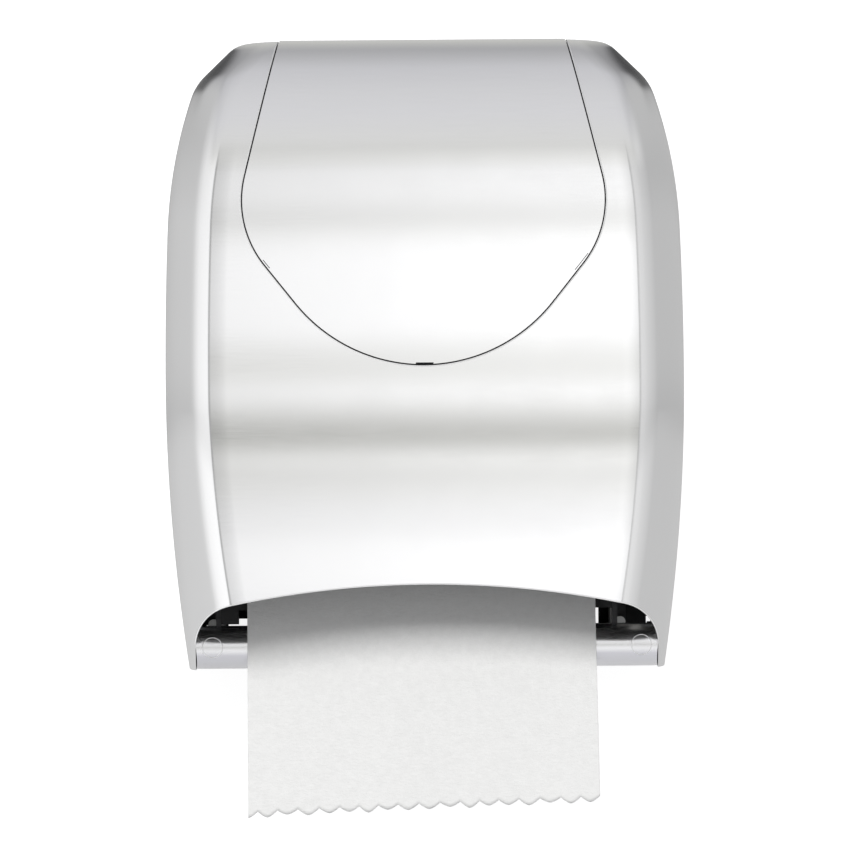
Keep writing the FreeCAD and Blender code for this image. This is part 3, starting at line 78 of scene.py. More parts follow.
def outline_arcs(inset):
    """Upper half of the front outline as (centre x, centre z, radius, first z, last z)."""
    x, z = cover_half_width - inset, cover_widest_z
    arcs = []
    for radius, start, end in upper_arcs:
        r, start, end = radius - inset, math.radians(start), math.radians(end)
        cx, cz = x - r * math.cos(start), z - r * math.sin(start)
        x, last = cx + r * math.cos(end), cz + r * math.sin(end)
        arcs.append((cx, cz, r, z, last))
        z = last
    r = crown_corner - inset
    cz = cover_half_height - inset - r
    facet_end = cz + r * math.sin(facet_lean)
    x -= (facet_end - z) * math.tan(facet_lean)
    arcs.append((x - r * math.cos(facet_lean), cz, r, facet_end, cover_half_height - inset))
    return arcs


def half_width(z, inset=0.0):
    """Half the cover's width at a height, against the wall."""
    if z <= cover_widest_z:
        r = lower_arc - inset
        return cover_half_width - inset - r + math.sqrt(r * r - (z - cover_widest_z) ** 2)
    arcs = outline_arcs(inset)
    for cx, cz, r, low, high in arcs[:-1]:
        if z <= high:
            return cx + math.sqrt(max(r * r - (z - cz) ** 2, 0.0))
    cx, cz, r, low, high = arcs[-1]
    if z < low:
        return cx + r * math.cos(facet_lean) + (low - z) * math.tan(facet_lean)
    return cx + math.sqrt(max(r * r - (min(z, high) - cz) ** 2, 0.0))


front_centre_y = front_arc - cover_depth
shoulder_z = cover_half_height - shoulder_arc
shoulder_rise = shoulder_z - cover_deepest_z
shoulder_y = front_centre_y - math.sqrt((front_arc - shoulder_arc) ** 2 - shoulder_rise ** 2)
shoulder_start = cover_deepest_z + shoulder_rise * front_arc / (front_arc - shoulder_arc)


def depth_at(z, inset=0.0):
    """How far the front face stands off the wall at a height."""
    if z <= shoulder_start:
        return math.sqrt((front_arc - inset) ** 2 - (z - cover_deepest_z) ** 2) - front_centre_y
    return math.sqrt(max((shoulder_arc - inset) ** 2 - (z - shoulder_z) ** 2, 0.0)) - shoulder_y


def crease_x(z, inset=0.0):
    """Half width between the creases, where the sides meet the front."""
    level = max(z, crease_low_z)
    drop = crease_arc - math.sqrt(crease_arc ** 2 - (level - crease_mid_z) ** 2)
    return min(crease_half_width - drop, half_width(z) - crease_inset) - inset


def side_x(y, z, inset=0.0):
    """Half width at a depth: full at the wall, drawn in ever faster towards the crease."""
    wide = half_width(z, inset)
    share = max(-y, 0.0) / depth_at(z, inset)
    return wide - (wide - crease_x(z, inset)) * share ** side_power


def cover_ring(z, inset, back_y, side_steps=26, corner_steps=14, front_steps=14, tries=30):
    """Points of one level section, from the right rear round the front to the left rear."""
    deep, wide, r = depth_at(z, inset), half_width(z, inset), front_corner - inset
    touch = deep - r
    for _ in range(tries):
        slope = side_power * (wide - crease_x(z, inset)) / deep * (touch / deep) ** (side_power - 1)
        lean = math.hypot(1.0, slope)
        touch = deep - r + r * slope / lean
    cx, cy = side_x(-touch, z, inset) - r / lean, r - deep
    half = [(side_x(y, z, inset), y) for y in np.linspace(back_y, -touch, side_steps)]
    turn = math.atan2(slope, 1.0)
    for angle in np.linspace(turn, math.pi / 2, corner_steps)[1:]:
        half.append((cx + r * math.cos(angle), cy - r * math.sin(angle)))
    half += [(x, -deep) for x in np.linspace(cx, 0.0, front_steps)[1:]]
    return [(x, y, z) for x, y in half] + [(-x, y, z) for x, y in reversed(half[:-1])]


def cover_levels(inset, low_z, low_steps=110, crown_steps=70):
    """Heights of the level sections, closer together over the crown."""
    r = shoulder_arc - inset
    angle = math.asin((shoulder_start - shoulder_z) / r)
    crown = [shoulder_z + r * math.sin(a) for a in np.linspace(angle, math.pi / 2, crown_steps)]
    low = list(np.linspace(low_z, shoulder_start, low_steps))
    return low[:-1] + crown[:-1] + [cover_half_height - inset]


def mesh_piece(name, points, faces):
    """A new piece in the scene from its points and faces."""
    mesh = bpy.data.meshes.new(name)
    mesh.from_pydata(points, [], faces)
    mesh.update()
    piece = bpy.data.objects.new(name, mesh)
    bpy.context.scene.collection.objects.link(piece)
    return piece


def outward(piece):
    """Closed meshes get their faces turned outward."""
    shape = bmesh.new()
    shape.from_mesh(piece.data)
    bmesh.ops.recalc_face_normals(shape, faces=shape.faces)
    shape.to_mesh(piece.data)
    shape.free()
    return piece


def cover_form(name, inset, low_z, back_y, closed=True):
    """The cover's whole outer form, or with closed False its skin alone."""
    rings = [cover_ring(z, inset, back_y) for z in cover_levels(inset, low_z)]
    count = len(rings[0])
    points = [p for ring in rings for p in ring]
    faces = []
    for k in range(len(rings) - 1):
        a, b = k * count, (k + 1) * count
        faces += [(a + i, a + i + 1, b + i + 1, b + i) for i in range(count - 1)]
        if closed:
            faces.append((a + count - 1, a, b, b + count - 1))
    if closed:
        faces.append(tuple(range(count)))
        faces.append(tuple(len(points) - 1 - i for i in range(count)))
    piece = mesh_piece(name, points, faces)
    return outward(piece) if closed else piece


def run_out(name, ends):
    """A closed solid between two like rings of points."""
    count = len(ends[0])
    faces = [(i, (i + 1) % count, count + (i + 1) % count, count + i) for i in range(count)]
    faces += [tuple(range(count)), tuple(range(2 * count - 1, count - 1, -1))]
    return outward(mesh_piece(name, ends[0] + ends[1], faces))


def prism(name, outline, y0, y1):
    """An outline in x and z, run from y0 to y1."""
    return run_out(name, [[(x, y, z) for x, z in outline] for y in (y0, y1)])


def prism_along_x(name, outline, x0, x1):
    """An outline in y and z, run from x0 to x1."""
    return run_out(name, [[(x, y, z) for y, z in outline] for x in (x0, x1)])


def arc(cx, cz, radius, start, end, count):
    """Points along an arc, from one angle to another."""
    angles = np.linspace(start, end, count)
    return [(cx + radius * math.cos(a), cz + radius * math.sin(a)) for a in angles]


def carve(piece, tools, how="DIFFERENCE"):
    """Cuts, or keeps, with each tool in turn; the tools are then thrown away."""
    for tool in tools:
        step = piece.modifiers.new("carve", "BOOLEAN")
        step.operation, step.solver, step.object = how, "EXACT", tool
    done = piece.evaluated_get(bpy.context.evaluated_depsgraph_get())
    solid = bpy.data.meshes.new_from_object(done)
    piece.modifiers.clear()
    spent, piece.data = piece.data, solid
    bpy.data.meshes.remove(spent)
    for tool in tools:
        bpy.data.objects.remove(tool)
    return piece


crisp_angle = math.radians(32)
skin_reach, skin_match, normal_match = 2e-4, 0.8, 0.7


def smooth_skin(piece, inset):
    """Gives the drawn-in skin its true normals, and leaves cut edges and the inside crisp."""
    skin = cover_form("skin", inset, -cover_half_height, 0.0, closed=False)
    surface = BVHTree.FromObject(skin, bpy.context.evaluated_depsgraph_get())
    true = [v.normal.copy() for v in skin.data.vertices]
    corners = [tuple(p.vertices) for p in skin.data.polygons]
    places = [v.co.copy() for v in skin.data.vertices]
    mesh = piece.data
    mesh.polygons.foreach_set("use_smooth", [True] * len(mesh.polygons))
    mesh.set_sharp_from_angle(angle=crisp_angle)
    normals = [Vector(c.vector) for c in mesh.corner_normals]
    foremost = surface.find_nearest(Vector((0.0, -1.0, 0.0)))[2]
    sign = -1.0 if true[corners[foremost][0]].y > 0 else 1.0
    for face in mesh.polygons:
        place, lean, index, away = surface.find_nearest(face.center)
        if away > skin_reach or abs(lean.dot(face.normal)) < skin_match:
            continue
        for loop in face.loop_indices:
            spot = mesh.vertices[mesh.loops[loop].vertex_index].co
            place, lean, index, away = surface.find_nearest(spot)
            total, weight = Vector((0.0, 0.0, 0.0)), 0.0
            for corner in corners[index]:
                share = 1.0 / ((places[corner] - place).length + 1e-6)
                total += true[corner] * share
                weight += share
            normal = (total / weight).normalized() * sign
            if normal.dot(face.normal) > normal_match:
                normals[loop] = normal
    mesh.normals_split_custom_set([tuple(n) for n in normals])
    bpy.data.objects.remove(skin)


def new_finish(name):
    """A bare material; returned with its node tree, its shader and the piece's own coordinates."""
    material = bpy.data.materials.new(name)
    material.use_nodes = True
    tree = material.node_tree
    tree.nodes.clear()
    shader = tree.nodes.new("ShaderNodeBsdfPrincipled")
    output = tree.nodes.new("ShaderNodeOutputMaterial")
    tree.links.new(shader.outputs["BSDF"], output.inputs["Surface"])
    place = tree.nodes.new("ShaderNodeTexCoord")
    return material, tree, shader, place.outputs["Object"]


def stretched(tree, place, scale):
    """The piece's own coordinates, drawn out by a scale along each axis."""
    mapping = tree.nodes.new("ShaderNodeMapping")
    mapping.inputs["Scale"].default_value = scale
    tree.links.new(place, mapping.inputs["Vector"])
    return mapping.outputs["Vector"]


even = (1.0, 1.0, 1.0)


def grain(tree, place, scale, size, detail=4.0, roughness=0.6):
    """Fine noise, drawn out by a scale along each axis."""
    noise = tree.nodes.new("ShaderNodeTexNoise")
    noise.inputs["Scale"].default_value = size
    noise.inputs["Detail"].default_value = detail
    noise.inputs["Roughness"].default_value = roughness
    tree.links.new(stretched(tree, place, scale), noise.inputs["Vector"])
    return noise.outputs["Fac"]


def between(tree, value, low, high, start=0.3, end=0.7):
    """A value spread from start to end becomes one from low to high."""
    spread = tree.nodes.new("ShaderNodeMapRange")
    spread.inputs["From Min"].default_value = start
    spread.inputs["From Max"].default_value = end
    spread.inputs["To Min"].default_value = low
    spread.inputs["To Max"].default_value = high
    tree.links.new(value, spread.inputs["Value"])
    return spread.outputs["Result"]


def tinted(tree, value, dark, light, start=0.3, end=0.7):
    """Colour drifting from one tint to another with a value."""
    ramp = tree.nodes.new("ShaderNodeValToRGB")
    for element, spot, tint in zip(ramp.color_ramp.elements, (start, end), (dark, light)):
        element.position, element.color = spot, tint
    tree.links.new(value, ramp.inputs["Fac"])
    return ramp.outputs["Color"]


def bumped(tree, shader, height, distance, under=None):
    """Relief of a real height on the shader, over any relief given as under."""
    bump = tree.nodes.new("ShaderNodeBump")
    bump.inputs["Distance"].default_value = distance
    bump.inputs["Strength"].default_value = 1.0
    tree.links.new(height, bump.inputs["Height"])
    if under is not None:
        tree.links.new(under, bump.inputs["Normal"])
    tree.links.new(bump.outputs["Normal"], shader.inputs["Normal"])
    return bump.outputs["Normal"]


def added(tree, first, second):
    """The sum of two values."""
    both = tree.nodes.new("ShaderNodeMath")
    both.operation = "ADD"
    tree.links.new(first, both.inputs[0])
    tree.links.new(second, both.inputs[1])
    return both.outputs[0]


def faced(tree, shader, colour, rough):
    """Feeds a shader its colour and its roughness."""
    tree.links.new(colour, shader.inputs["Base Color"])
    tree.links.new(rough, shader.inputs["Roughness"])


brush_stretch, brush_scale = (0.02, 1.0, 1.0), 2600.0
brush_dark, brush_depth, brush_share = 0.955, 2.0e-6, 0.8
mottle_scale = 38.0


def silver_film(name, tint, rough_low, rough_high):
    """Satin silver film: fine brushing along X and a soft mottle in its sheen."""
    material, tree, shader, place = new_finish(name)
    shader.inputs["Metallic"].default_value = 1.0
    strokes = grain(tree, place, brush_stretch, brush_scale, 5.0, 0.7)
    mottle = grain(tree, place, even, mottle_scale, 3.0, 0.5)
    dark = tuple(c * brush_dark for c in tint[:3]) + (1.0,)
    brushed = between(tree, strokes, 0.0, brush_share)
    mixed = added(tree, brushed, between(tree, mottle, 0.0, 0.2))
    rough = between(tree, mixed, rough_low, rough_high, 0.0, 1.0)
    faced(tree, shader, tinted(tree, strokes, dark, tint), rough)
    bumped(tree, shader, strokes, brush_depth)
    return material


def dress(piece, *materials):
    """Gives a piece these materials in place of its own."""
    piece.data.materials.clear()
    for material in materials:
        piece.data.materials.append(material)
    return piece


def mouth_outline():
    """The mouth's edge from the right foot over the arch to the left foot, and its corners' height."""
    arch_z = arch_top_z - arch_radius
    corner_x, reach = mouth_half - mouth_corner, arch_radius - mouth_corner
    corner_z = arch_z + math.sqrt(reach * reach - corner_x * corner_x)
    lean = math.atan2(corner_z - arch_z, corner_x)
    right = [(mouth_half, -cover_half_height - past)]
    right += arc(corner_x, corner_z, mouth_corner, 0.0, lean, 18)
    over = arc(0.0, arch_z, arch_radius, lean, math.pi - lean, 120)[1:-1]
    left = [(-x, z) for x, z in reversed(right)]
    return right + over + left, corner_z


mouth, mouth_corner_z = mouth_outline()
mouth_back_y = bar_front_y + 4 * bar_radius
cheek_y, cheek_step = bar_front_y - 0.006, 0.003
cheek_slope = [
    (cheek_y, -cover_half_height - past),
    (cheek_y, mouth_corner_z + cheek_step),
    (cheek_y - mouth_corner, mouth_corner_z + mouth_corner / 2),
    (-cover_depth - past, mouth_corner_z + mouth_corner / 2),
    (-cover_depth - past, -cover_half_height - past),
]
bib_half, bib_bottom_z, bib_bottom_arc = 0.1024, -0.0064, 0.0925
bib_shoulder_arc, bib_shoulder_z, bib_tilt = 0.0584, 0.0866, math.radians(13.6)
seam = 0.0008
bib_gap_x, bib_gap_z = bib_half - bib_shoulder_arc, bib_shoulder_z - bib_bottom_z - bib_bottom_arc
bib_swing = math.acos((bib_bottom_arc - bib_shoulder_arc) / math.hypot(bib_gap_x, bib_gap_z))
bib_turn = math.atan2(bib_gap_z, bib_gap_x) - bib_swing


def bib_outline(grow):
    """Face of the front panel: tilted sides, round shoulders, straight run, round bottom."""
    r, low_z, top_z = bib_shoulder_arc + grow, bib_bottom_z + bib_bottom_arc, cover_half_height + 2 * past
    shoulder = arc(bib_gap_x, bib_shoulder_z, r, bib_tilt, bib_turn, 26)
    high_x, high_z = shoulder[0]
    top = (high_x - (top_z - high_z) * math.tan(bib_tilt), top_z)
    bottom = arc(0.0, low_z, bib_bottom_arc + grow, bib_turn, -math.pi / 2, 34)
    right = [top] + shoulder + bottom
    return right + [(-x, z) for x, z in reversed(right[:-1])]


bib_back_y = -0.058
tool_reach = 0.2
hinge_y, hinge_z = -(wall_gap + hinge_corner), hinge_corner - cover_half_height
corner_tool = [(hinge_y, -cover_half_height - past)]
corner_tool += arc(hinge_y, hinge_z, hinge_corner, -math.pi / 2, 0.0, 16)
corner_tool += [(past, hinge_z), (past, -cover_half_height - past)]
wall_tool = [(-wall_gap, -tool_reach), (past, -tool_reach), (past, tool_reach), (-wall_gap, tool_reach)]
lock_radius, lock_y, lock_hole_z = 0.00705, -0.026, (0.15, 0.20)
lock_hole = arc(0.0, lock_y, lock_radius, 0, 2 * math.pi, 49)[:-1]
shell = cover_form("cover_shell_skin", 0.0, -cover_half_height, 0.0)
carve(
    shell,
    [
        cover_form("inside_tool", cover_wall, -cover_half_height - past / 2, past / 2),
        prism_along_x("wall_tool", wall_tool, -tool_reach, tool_reach),
        prism_along_x("corner_tool", corner_tool, -tool_reach, tool_reach),
        prism("arch_tool", mouth, -cover_depth - past, mouth_back_y),
        prism_along_x("cheek_tool", cheek_slope, -cover_half_width - past, cover_half_width + past),
        prism("bib_tool", bib_outline(seam), -cover_depth - 2 * past, bib_back_y + seam),
        run_out("lock_tool", [[(x, y, z) for x, y in lock_hole] for z in lock_hole_z]),
    ],
)
smooth_skin(shell, 0.0)
silver = silver_film("silver_film_cover", silver_tint, *silver_rough)
dress(shell, silver)
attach(shell, "cover")
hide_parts("cover_shell")
shell_skin = BVHTree.FromObject(shell, bpy.context.evaluated_depsgraph_get())
bead_start_y, bead_top_z = -0.4, cover_half_height - 0.0008


def rolled_edge(name, outline, radius, skin, film, step=0.0015, sides=8):
    """A fine bead of film, rolled along an edge that is given as (x, z) seen from the front."""
    places = []
    for (x0, z0), (x1, z1) in zip(outline, outline[1:]):
        count = max(1, round(math.hypot(x1 - x0, z1 - z0) / step))
        places += [(x0 + (x1 - x0) * i / count, z0 + (z1 - z0) * i / count) for i in range(count)]
    inward = Vector((0.0, 1.0, 0.0))
    line = []
    for x, z in places:
        hit = skin.ray_cast(Vector((x, bead_start_y, z)), inward)[0]
        if hit is not None and hit.y < bib_back_y and z < bead_top_z:
            line.append(hit)
    points, faces = [], []
    for i, spot in enumerate(line):
        along = (line[min(i + 1, len(line) - 1)] - line[max(i - 1, 0)]).normalized()
        across = along.cross(inward).normalized()
        out = across.cross(along)
        for k in range(sides):
            angle = k * 2 * math.pi / sides
            points.append(spot + (across * math.cos(angle) + out * math.sin(angle)) * radius)
    for a in range(0, (len(line) - 1) * sides, sides):
        b = a + sides
        faces += [(a + k, a + (k + 1) % sides, b + (k + 1) % sides, b + k) for k in range(sides)]
    faces += [tuple(range(sides)), tuple(range(len(points) - 1, len(points) - 1 - sides, -1))]
    bead = outward(mesh_piece(name, points, faces))
    bead.data.polygons.foreach_set("use_smooth", [True] * len(faces))
    dress(bead, film)
    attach(bead, "cover")


# The beads' silver is lighter than the cover's: a painted highlight along the seam, the mouth's lip and the
# plugs' rims.
edge_highlight_tint, edge_rough = (0.97, 0.97, 0.97, 1.0), (0.42, 0.55)
edge_highlight_film = silver_film("silver_film_edge_highlight", edge_highlight_tint, *edge_rough)
seam_bead, seam_bead_off, mouth_bead = 0.0004, 0.0003, 0.0003
rolled_edge("seam_bead", bib_outline(seam + seam_bead_off), seam_bead, shell_skin, edge_highlight_film)
lip_spread, lip_lift, lip_foot = 1.0022, 0.0004, 0.002
lip = [(x * lip_spread, z + lip_lift) for x, z in mouth if z > mouth_corner_z - lip_foot]
rolled_edge("mouth_bead", lip, mouth_bead, shell_skin, edge_highlight_film)

ledge_low_z, ledge_front, ledge_rear = -0.05, cover_wall + 0.0001, cover_wall + 0.0009
ledge_inner, ledge_outer = -0.0015, 0.0025
ledge = cover_form("seam_ledge", ledge_front, ledge_low_z, 0.0)
carve(
    ledge,
    [
        cover_form("inside_tool", ledge_rear, ledge_low_z - past, past / 2),
        prism("bib_tool", bib_outline(ledge_inner), -cover_depth - 2 * past, past),
    ],
)
ledge_keep = prism("bib_tool", bib_outline(ledge_outer), -cover_depth - 2 * past, bib_back_y)
carve(ledge, [ledge_keep], "INTERSECT")
ledge_black, tree, shader, place = new_finish("cover_inside_black")
dusty = tinted(tree, grain(tree, place, even, 60.0), (0.010, 0.010, 0.011, 1), (0.018, 0.018, 0.019, 1))
faced(tree, shader, dusty, between(tree, grain(tree, place, even, 300.0), 0.5, 0.65))
dress(ledge, ledge_black)
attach(ledge, "cover")


# Front panel
# A bib-shaped panel of the same silver moulding, clipped into the cover's front and over its top.
# It stands a hair proud, with a fine dark seam, a slot at its foot and a notch each side to lever it.

panel_proud = 0.0004
notch_inner, notch_outer = -0.0011, -0.0007
notch_lengths = {1: 0.012, -1: 0.006}
slot_half, slot_low, slot_high = 0.005, -0.001, 0.0009
panel = cover_form("cover_insert_skin", -panel_proud, -cover_half_height, 0.0)
notches = []
for side, length in notch_lengths.items():
    corners = [(notch_inner, -length / 2), (notch_outer, -length / 2)]
    corners += [(notch_outer, length / 2), (notch_inner, length / 2)]
    notch = prism("notch_tool", corners, -cover_depth - past, -cover_depth / 2)
    notch.data.transform(Matrix.Rotation(-bib_turn, 4, "Y"))
    notch_x = bib_half - bib_shoulder_arc * (1 - math.cos(bib_turn))
    notch_z = bib_shoulder_z + bib_shoulder_arc * math.sin(bib_turn)
    notch.data.transform(Matrix.Translation((notch_x, 0.0, notch_z)))
    if side < 0:
        notch.data.transform(Matrix.Scale(-1.0, 4, (1.0, 0.0, 0.0)))
        notch.data.flip_normals()
    notches.append(notch)
pry_slot = [(-slot_half, bib_bottom_z + slot_low), (slot_half, bib_bottom_z + slot_low)]
pry_slot += [(slot_half, bib_bottom_z + slot_high), (-slot_half, bib_bottom_z + slot_high)]
carve(
    panel,
    [
        cover_form("inside_tool", cover_wall, -cover_half_height - past / 2, past / 2),
        prism("slot_tool", pry_slot, -cover_depth - past, -cover_depth / 2),
        *notches,
    ],
)
carve(panel, [prism("bib_tool", bib_outline(0.0), -cover_depth - 2 * past, bib_back_y)], "INTERSECT")
smooth_skin(panel, -panel_proud)
dress(panel, silver)
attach(panel, "cover")
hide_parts("cover_insert")


# Nose bar
# A half-round bar across the foot of the mouth, silvered like the cover but in a lighter, bluer copy of its
# silver that is painted light, ribbed behind.
# Short solid ends close it against the cheeks, and a round push-in plug sits flush near each end.

# The bar's and the plugs' tints are a lighter, bluer copy of the cover's silver: painted light.
bar_painted_light_tint = (0.93, 0.93, 0.945, 1.0)
plug_painted_light_tint = (0.91, 0.91, 0.925, 1.0)
bar_rough = (0.20, 0.27)
bar_foot = 0.0008
bar_y, bar_z = bar_front_y + bar_radius, bar_foot + bar_radius - cover_half_height
end_radius = bar_radius - 0.00005
end_back_y, end_back_half = bar_y + 0.010, bar_radius - 0.0002
end_inner_x, end_outer_x, end_inset = 0.126, 0.140, 0.0006
ring_inset, ring_radius = 0.0003, 0.00025
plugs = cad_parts["nose_bar_plugs"]
bar_film = silver_film("silver_film_bar", bar_painted_light_tint, *bar_rough)
dress(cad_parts["nose_bar"], bar_film)
for side, name in ((-1, "left_bar_end"), (1, "right_bar_end")):
    round_end = arc(bar_y, bar_z, end_radius, math.pi / 2, 3 * math.pi / 2, 33)
    round_end += [(end_back_y, bar_z - end_back_half), (end_back_y, bar_z + end_back_half)]
    end = prism_along_x(name, round_end, *sorted((side * end_inner_x, side * end_outer_x)))
    carve(end, [cover_form("inside_tool", end_inset, -cover_half_height - past / 2, past / 2)], "INTERSECT")
    end.data.polygons.foreach_set("use_smooth", [True] * len(end.data.polygons))
    end.data.set_sharp_from_angle(angle=crisp_angle)
    dress(end, bar_film)
    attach(end, "cover")
dress(plugs, silver_film("silver_film_plug", plug_painted_light_tint, *bar_rough))
plug_skin = BVHTree.FromObject(plugs, bpy.context.evaluated_depsgraph_get())
plug_spots = [plugs.matrix_world @ v.co for v in plugs.data.vertices]
for side, name in ((-1, "left_plug_ring"), (1, "right_plug_ring")):
    near = [spot for spot in plug_spots if spot.x * side > 0]
    low_x, high_x = min(s.x for s in near), max(s.x for s in near)
    mid_z = (min(s.z for s in near) + max(s.z for s in near)) / 2
    ring = arc((low_x + high_x) / 2, mid_z, (high_x - low_x) / 2 - ring_inset, 0.0, 2 * math.pi, 73)
    rolled_edge(name, ring, ring_radius, plug_skin, edge_highlight_film)


# Black inner mouldings
# The wall plate, floor tray, battery box, door and blade carrier are plain black moulded plastic.
# They have a fine spark-eroded grain and go slightly grey where hands and dust reach them.

moulded_gloss = 0.28


def moulded(name, dark, light, rough, speckle=900.0, depth=1.2e-5, sheen=0.0):
    """Moulded plastic: fine even grain, a slow drift of tint and sheen, and small scuffs."""
    material, tree, shader, place = new_finish(name)
    drift = grain(tree, place, even, 14.0, 2.0, 0.5)
    specks = grain(tree, place, even, speckle, 2.0, 0.6)
    scuffs = grain(tree, place, (0.25, 1.0, 1.6), 160.0, 6.0, 0.8)
    faced(tree, shader, tinted(tree, drift, dark, light), between(tree, scuffs, rough - 0.08, rough + 0.10))
    shader.inputs["Specular IOR Level"].default_value = moulded_gloss
    bumped(tree, shader, specks, depth)
    if sheen:
        shader.inputs["Coat Weight"].default_value = sheen
    return material


def dress_node(names, material):
    """Dresses solids of the construction that are shown as they are."""
    for name in names:
        dress(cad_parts[name], material)


black = moulded("black_moulding", (0.012, 0.012, 0.013, 1), (0.020, 0.020, 0.021, 1), 0.5)
dress_node(("back_plate", "bottom_tray", "battery_box", "blade_bar"), black)
door_black = moulded("door_moulding", (0.020, 0.020, 0.022, 1), (0.032, 0.032, 0.034, 1), 0.42, 700.0)
dress_node(("battery_door",), door_black)


# Side frames
# Two dark grey moulded uprights screwed to the wall plate through a turned foot.
# They carry every shaft, and their lit inner faces are the grey lines seen in the mouth's corners.

frame_grey = moulded("frame_moulding", (0.050, 0.050, 0.052, 1), (0.072, 0.072, 0.075, 1), 0.46, 800.0)
dress_node(("left_side_frame", "right_side_frame"), frame_grey)
arm_grey = moulded("arm_moulding", (0.10, 0.10, 0.105, 1), (0.13, 0.13, 0.135, 1), 0.44, 800.0)
dress_node(("left_roll_arm", "right_roll_arm"), arm_grey)
hub_blue = moulded("hub_moulding", (0.18, 0.21, 0.24, 1), (0.23, 0.26, 0.29, 1), 0.38, 600.0)
dress_node(("left_hub", "right_hub"), hub_blue)


# Cutting blade, screws and other metal
# A punched and ground stainless strip with a row of teeth, screwed under a black carrier.
# The screws, pins and shafts are zinc plated steel; the brackets and latch are bent sheet.

bloom_dark, line_depth = 0.82, 3.0e-6


def turned_metal(name, tint, rough_low, rough_high, along=(0.03, 1.0, 1.0), lines=1500.0):
    """Bare or plated metal with drawn or turned lines and a cloudy bloom."""
    material, tree, shader, place = new_finish(name)
    shader.inputs["Metallic"].default_value = 1.0
    marks = grain(tree, place, along, lines, 4.0, 0.7)
    bloom = grain(tree, place, even, 60.0, 3.0, 0.6)
    dark = tuple(c * bloom_dark for c in tint[:3]) + (1.0,)
    faced(tree, shader, tinted(tree, bloom, dark, tint), between(tree, marks, rough_low, rough_high))
    bumped(tree, shader, marks, line_depth)
    return material


across_blade = (1.0, 0.04, 1.0)
blade_steel = turned_metal("blade_steel_ground", (0.62, 0.62, 0.63, 1), 0.22, 0.38, across_blade, 1800.0)
dress_node(("tear_blade",), blade_steel)
plated = turned_metal("zinc_plate", (0.60, 0.61, 0.60, 1), 0.25, 0.42)
dress_node(("blade_screws", "chassis_screws", "cover_hinge_pins", "arm_pins"), plated)
dress_node(("idler_shaft", "pinch_shaft", "lever_shaft"), plated)
bent = turned_metal("bent_sheet", (0.50, 0.51, 0.52, 1), 0.32, 0.48, (1.0, 1.0, 0.05), 900.0)
dress_node(("motor_bracket", "latch", "sensor_plate"), bent)
spring_wire = turned_metal("spring_wire", (0.42, 0.42, 0.43, 1), 0.28, 0.4)
dress_node(("pinch_springs", "arm_springs", "button_spring"), spring_wire)
dress_node(("battery_contacts",), turned_metal("contact_nickel", (0.70, 0.67, 0.60, 1), 0.2, 0.34))
dress_node(("motor",), turned_metal("motor_can_zinc", (0.55, 0.55, 0.54, 1), 0.3, 0.45))
lock_chrome = turned_metal("lock_chrome", (0.66, 0.66, 0.66, 1), 0.12, 0.26, (1.0, 1.0, 0.1), 700.0)
dress_node(("lock_body", "lock_cam"), lock_chrome)


# Rollers, gears and small inner mouldings
# A grey nylon roller with three moulded grip sleeves, and a plain pressing roller on a sprung frame.
# The gears are milky acetal, greased, and the bushes, lever, button and selector are moulded in nylon.

grip, tree, shader, place = new_finish("grip_rubber_sleeve")
ring_scale, ring_depth = 160.0, 1.5e-4
rings = tree.nodes.new("ShaderNodeTexWave")
rings.wave_type, rings.bands_direction = "BANDS", "X"
rings.inputs["Scale"].default_value = ring_scale
rings.inputs["Distortion"].default_value = 0.4
tree.links.new(place, rings.inputs["Vector"])
rubber = tinted(tree, grain(tree, place, even, 220.0), (0.028, 0.028, 0.030, 1), (0.045, 0.045, 0.047, 1))
faced(tree, shader, rubber, between(tree, grain(tree, place, even, 90.0), 0.6, 0.82))
bumped(tree, shader, rings.outputs["Fac"], ring_depth)
dress_node(("feed_roller_sleeves",), grip)
dress_node(("feed_roller",), moulded("roller_nylon", (0.16, 0.16, 0.165, 1), (0.20, 0.20, 0.205, 1), 0.4))
pinch_nylon = moulded("pinch_nylon", (0.045, 0.045, 0.047, 1), (0.06, 0.06, 0.062, 1), 0.42)
dress_node(("pinch_roller", "pinch_frame"), pinch_nylon)
dress_node(("feed_bushes",), moulded("bush_acetal", (0.62, 0.61, 0.57, 1), (0.70, 0.69, 0.65, 1), 0.32))
gear_white = moulded("gear_acetal", (0.66, 0.65, 0.60, 1), (0.76, 0.75, 0.71, 1), 0.3, 500.0, 8e-6, 0.15)
dress_node(("roller_gear", "idler_gear", "motor_pinion"), gear_white)
dress_node(("feed_button",), moulded("button_moulding", (0.45, 0.10, 0.06, 1), (0.55, 0.14, 0.08, 1), 0.35))
selector_grey = moulded("selector_moulding", (0.55, 0.55, 0.53, 1), (0.66, 0.66, 0.64, 1), 0.35)
dress_node(("length_selector",), selector_grey)
dress_node(("sensing_lever",), moulded("lever_moulding", (0.10, 0.16, 0.26, 1), (0.14, 0.21, 0.32, 1), 0.4))


# Cells and circuit board
# Four cells in a plain wrap, and a green laminate board with black parts soldered to it.
# The wrap is shrunk film over a steel can, glossy, with a soft long crease down each cell, and a painted
# sheen streaked along its tint.

fold_depth = 6e-5
wrap, tree, shader, place = new_finish("cell_shrink_wrap")
